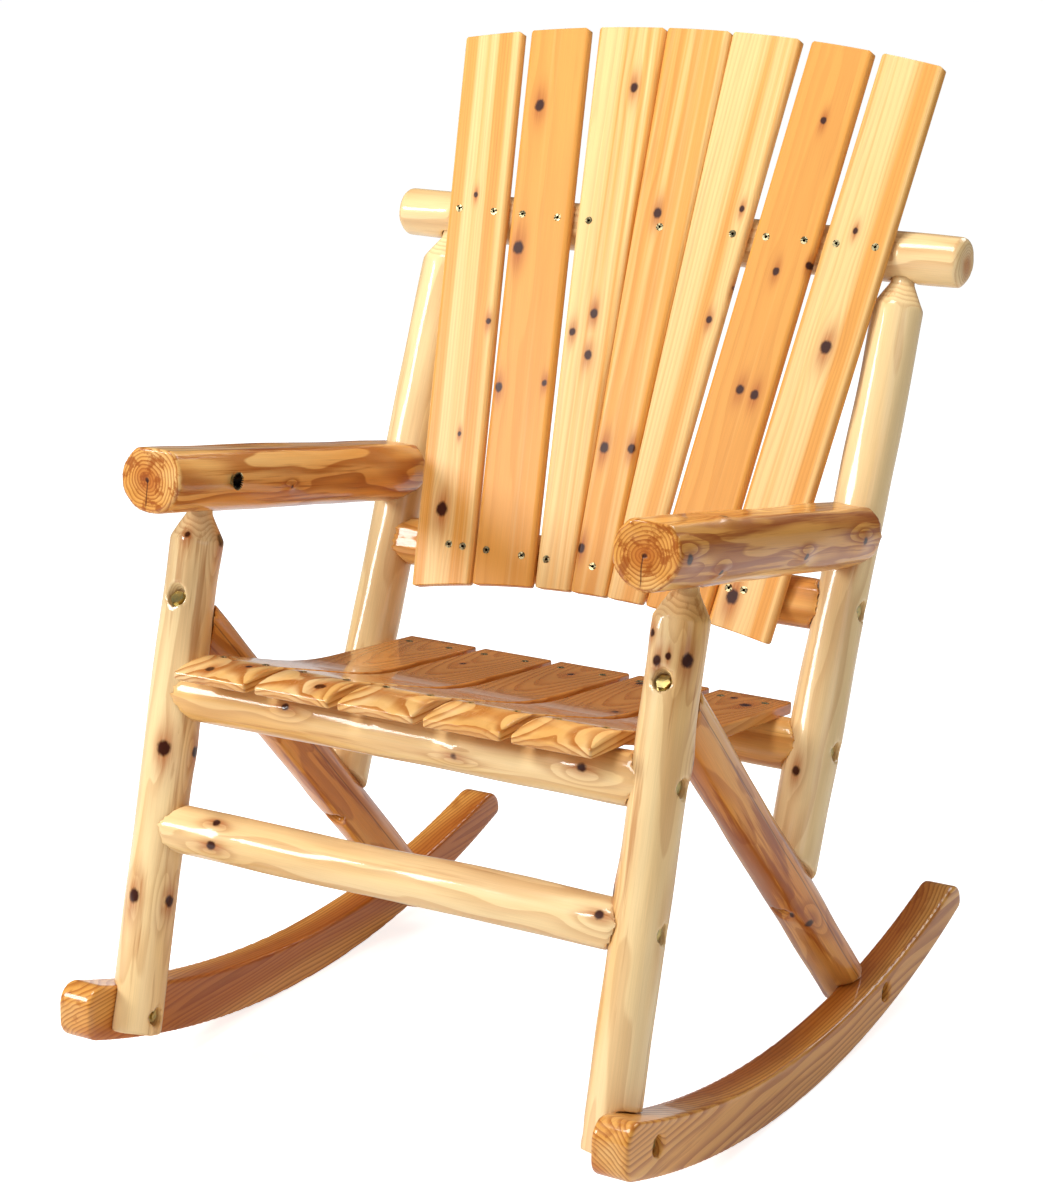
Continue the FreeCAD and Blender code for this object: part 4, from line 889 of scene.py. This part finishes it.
class CHAIR_OT_hardware(bpy.types.Operator):
    """Plate the bolts, nuts, washers and screws"""
    bl_idname = "chair.hardware"
    bl_label = "Hardware"

    def execute(self, context):
        finishes = {
            "yellow_zinc": metal("yellow_zinc", (0.62, 0.47, 0.16), (0.36, 0.33, 0.16), 0.28),
            "screw_brass": metal("screw_brass", (0.55, 0.47, 0.26), (0.30, 0.26, 0.14), 0.32),
        }
        as_made = Matrix.Identity(4)
        for entry in frame["record"]["subparts"]:
            node, slot = entry["node"], entry["material_slot"]
            if slot == "yellow_zinc":
                for spot in frame["nodes"][node].material_slots:
                    spot.material = finishes[slot]
            if slot == "screw_brass":
                obj = rough_out(node, node + "_driven", as_made)
                join_facets(obj)
                sink_recesses(obj)
                finish_piece(obj, node, as_made, finishes[slot])
        return {"FINISHED"}


def pick_by_ray(tree, ray, seen, otherwise):
    """A shader that is one thing to one kind of ray and another thing to all others."""
    paths = tree.nodes.new("ShaderNodeLightPath")
    either = tree.nodes.new("ShaderNodeMixShader")
    tree.links.new(paths.outputs[ray], either.inputs[0])
    tree.links.new(otherwise, either.inputs[1])
    tree.links.new(seen, either.inputs[2])
    return either.outputs[0]


def show_white(tree, make, end, camera, glossy, rest):
    """Make surroundings of three levels: to the camera, to reflections and to other light."""
    quiet = pick_by_ray(tree, "Is Glossy Ray", make(glossy), make(rest))
    tree.links.new(pick_by_ray(tree, "Is Camera Ray", make(camera), quiet), end)


class CHAIR_OT_stage(bpy.types.Operator):
    """Set the floor, the soft lights and the camera"""
    bl_idname = "chair.stage"
    bl_label = "Stage"

    def execute(self, context):
        setup = context.scene.stage_setup
        bpy.ops.object.select_all(action="DESELECT")
        bpy.ops.mesh.primitive_plane_add(size=80, location=(0, 20, 0))
        floor = context.object
        floor.name = "floor"
        bench = Bench("floor_white")

        def paper(glow):
            shader = bench.node("BsdfPrincipled")
            shader.inputs["Base Color"].default_value = (0.85, 0.85, 0.85, 1)
            shader.inputs["Roughness"].default_value = 0.9
            shader.inputs["Specular IOR Level"].default_value = 0.0
            shader.inputs["Emission Color"].default_value = (1, 1, 1, 1)
            shader.inputs["Emission Strength"].default_value = glow
            return shader.outputs[0]

        surface = next(n for n in bench.tree.nodes if n.type == "OUTPUT_MATERIAL")
        show_white(bench.tree, paper, surface.inputs["Surface"],
                   camera=0.75, glossy=0.0, rest=0.10)
        bench.tree.nodes.remove(bench.shader)
        floor.data.materials.append(bench.material)

        world = bpy.data.worlds.new("white_room")
        world.use_nodes = True
        tree = world.node_tree

        def sky(strength):
            light = tree.nodes.new("ShaderNodeBackground")
            light.inputs["Color"].default_value = (1, 1, 1, 1)
            light.inputs["Strength"].default_value = strength
            return light.outputs[0]

        show_white(tree, sky, tree.nodes["World Output"].inputs["Surface"],
                   camera=1.0, glossy=0.06, rest=setup.sky)
        tree.nodes.remove(tree.nodes["Background"])
        context.scene.world = world

        # name: place, size, power
        lamps = {
            "key": ((-2.7, -3.2, 2.3), 1.2, 112),
            "fill": ((3.2, -1.8, 1.6), 1.4, 8),
            "rear": ((0.6, 2.8, 2.6), 1.4, 30),
            "top": ((-0.4, -0.9, 3.6), 1.3, 80),
        }
        for name, (place, size, power) in lamps.items():
            bpy.ops.object.light_add(type="AREA", location=place)
            lamp = context.object
            lamp.name = name
            lamp.data.size = size
            lamp.data.energy = power
            aim = Vector((0, 0, 0.5)) - Vector(place)
            lamp.rotation_euler = aim.to_track_quat("-Z", "Y").to_euler()

        bpy.ops.object.camera_add(location=setup.place, rotation=setup.turn)
        camera = context.object
        camera.data.lens = setup.focal
        camera.data.sensor_width = 36
        camera.data.shift_x = setup.shift
        camera.data.clip_end = 200
        context.scene.camera = camera
        context.scene.view_settings.view_transform = "Standard"
        return {"FINISHED"}


STEPS = (CHAIR_OT_stage, CHAIR_OT_rockers, CHAIR_OT_front_posts, CHAIR_OT_rear_posts,
         CHAIR_OT_braces, CHAIR_OT_armrests, CHAIR_OT_cross_logs, CHAIR_OT_seat,
         CHAIR_OT_back, CHAIR_OT_hardware)


class CHAIR_PT_panel(bpy.types.Panel):
    """The chair's pieces, in the order that they are made"""
    bl_idname = "CHAIR_PT_panel"
    bl_label = "Log Rocking Chair"
    bl_space_type = "VIEW_3D"
    bl_region_type = "UI"
    bl_category = "Chair"

    def draw(self, context):
        for step in STEPS:
            self.layout.operator(step.bl_idname)
        for name in GROUPS:
            group = getattr(context.scene, name)
            for key in group.bl_rna.properties.keys():
                if key not in ("rna_type", "name"):
                    self.layout.prop(group, key)


GROUPS = {"log_shape": LogShape, "wood_colours": WoodColours, "stage_setup": StageSetup}


def register():
    for group in (*GROUPS.values(), *STEPS, CHAIR_PT_panel):
        bpy.utils.register_class(group)
    for key, group in GROUPS.items():
        setattr(bpy.types.Scene, key, bpy.props.PointerProperty(type=group))


def unregister():
    for key in GROUPS:
        delattr(bpy.types.Scene, key)
    for group in reversed((*GROUPS.values(), *STEPS, CHAIR_PT_panel)):
        bpy.utils.unregister_class(group)


def main():
    register()
    for step in STEPS:
        folder, name = step.bl_idname.split(".")
        getattr(getattr(bpy.ops, folder), name)()


if __name__ == "__main__":
    main()
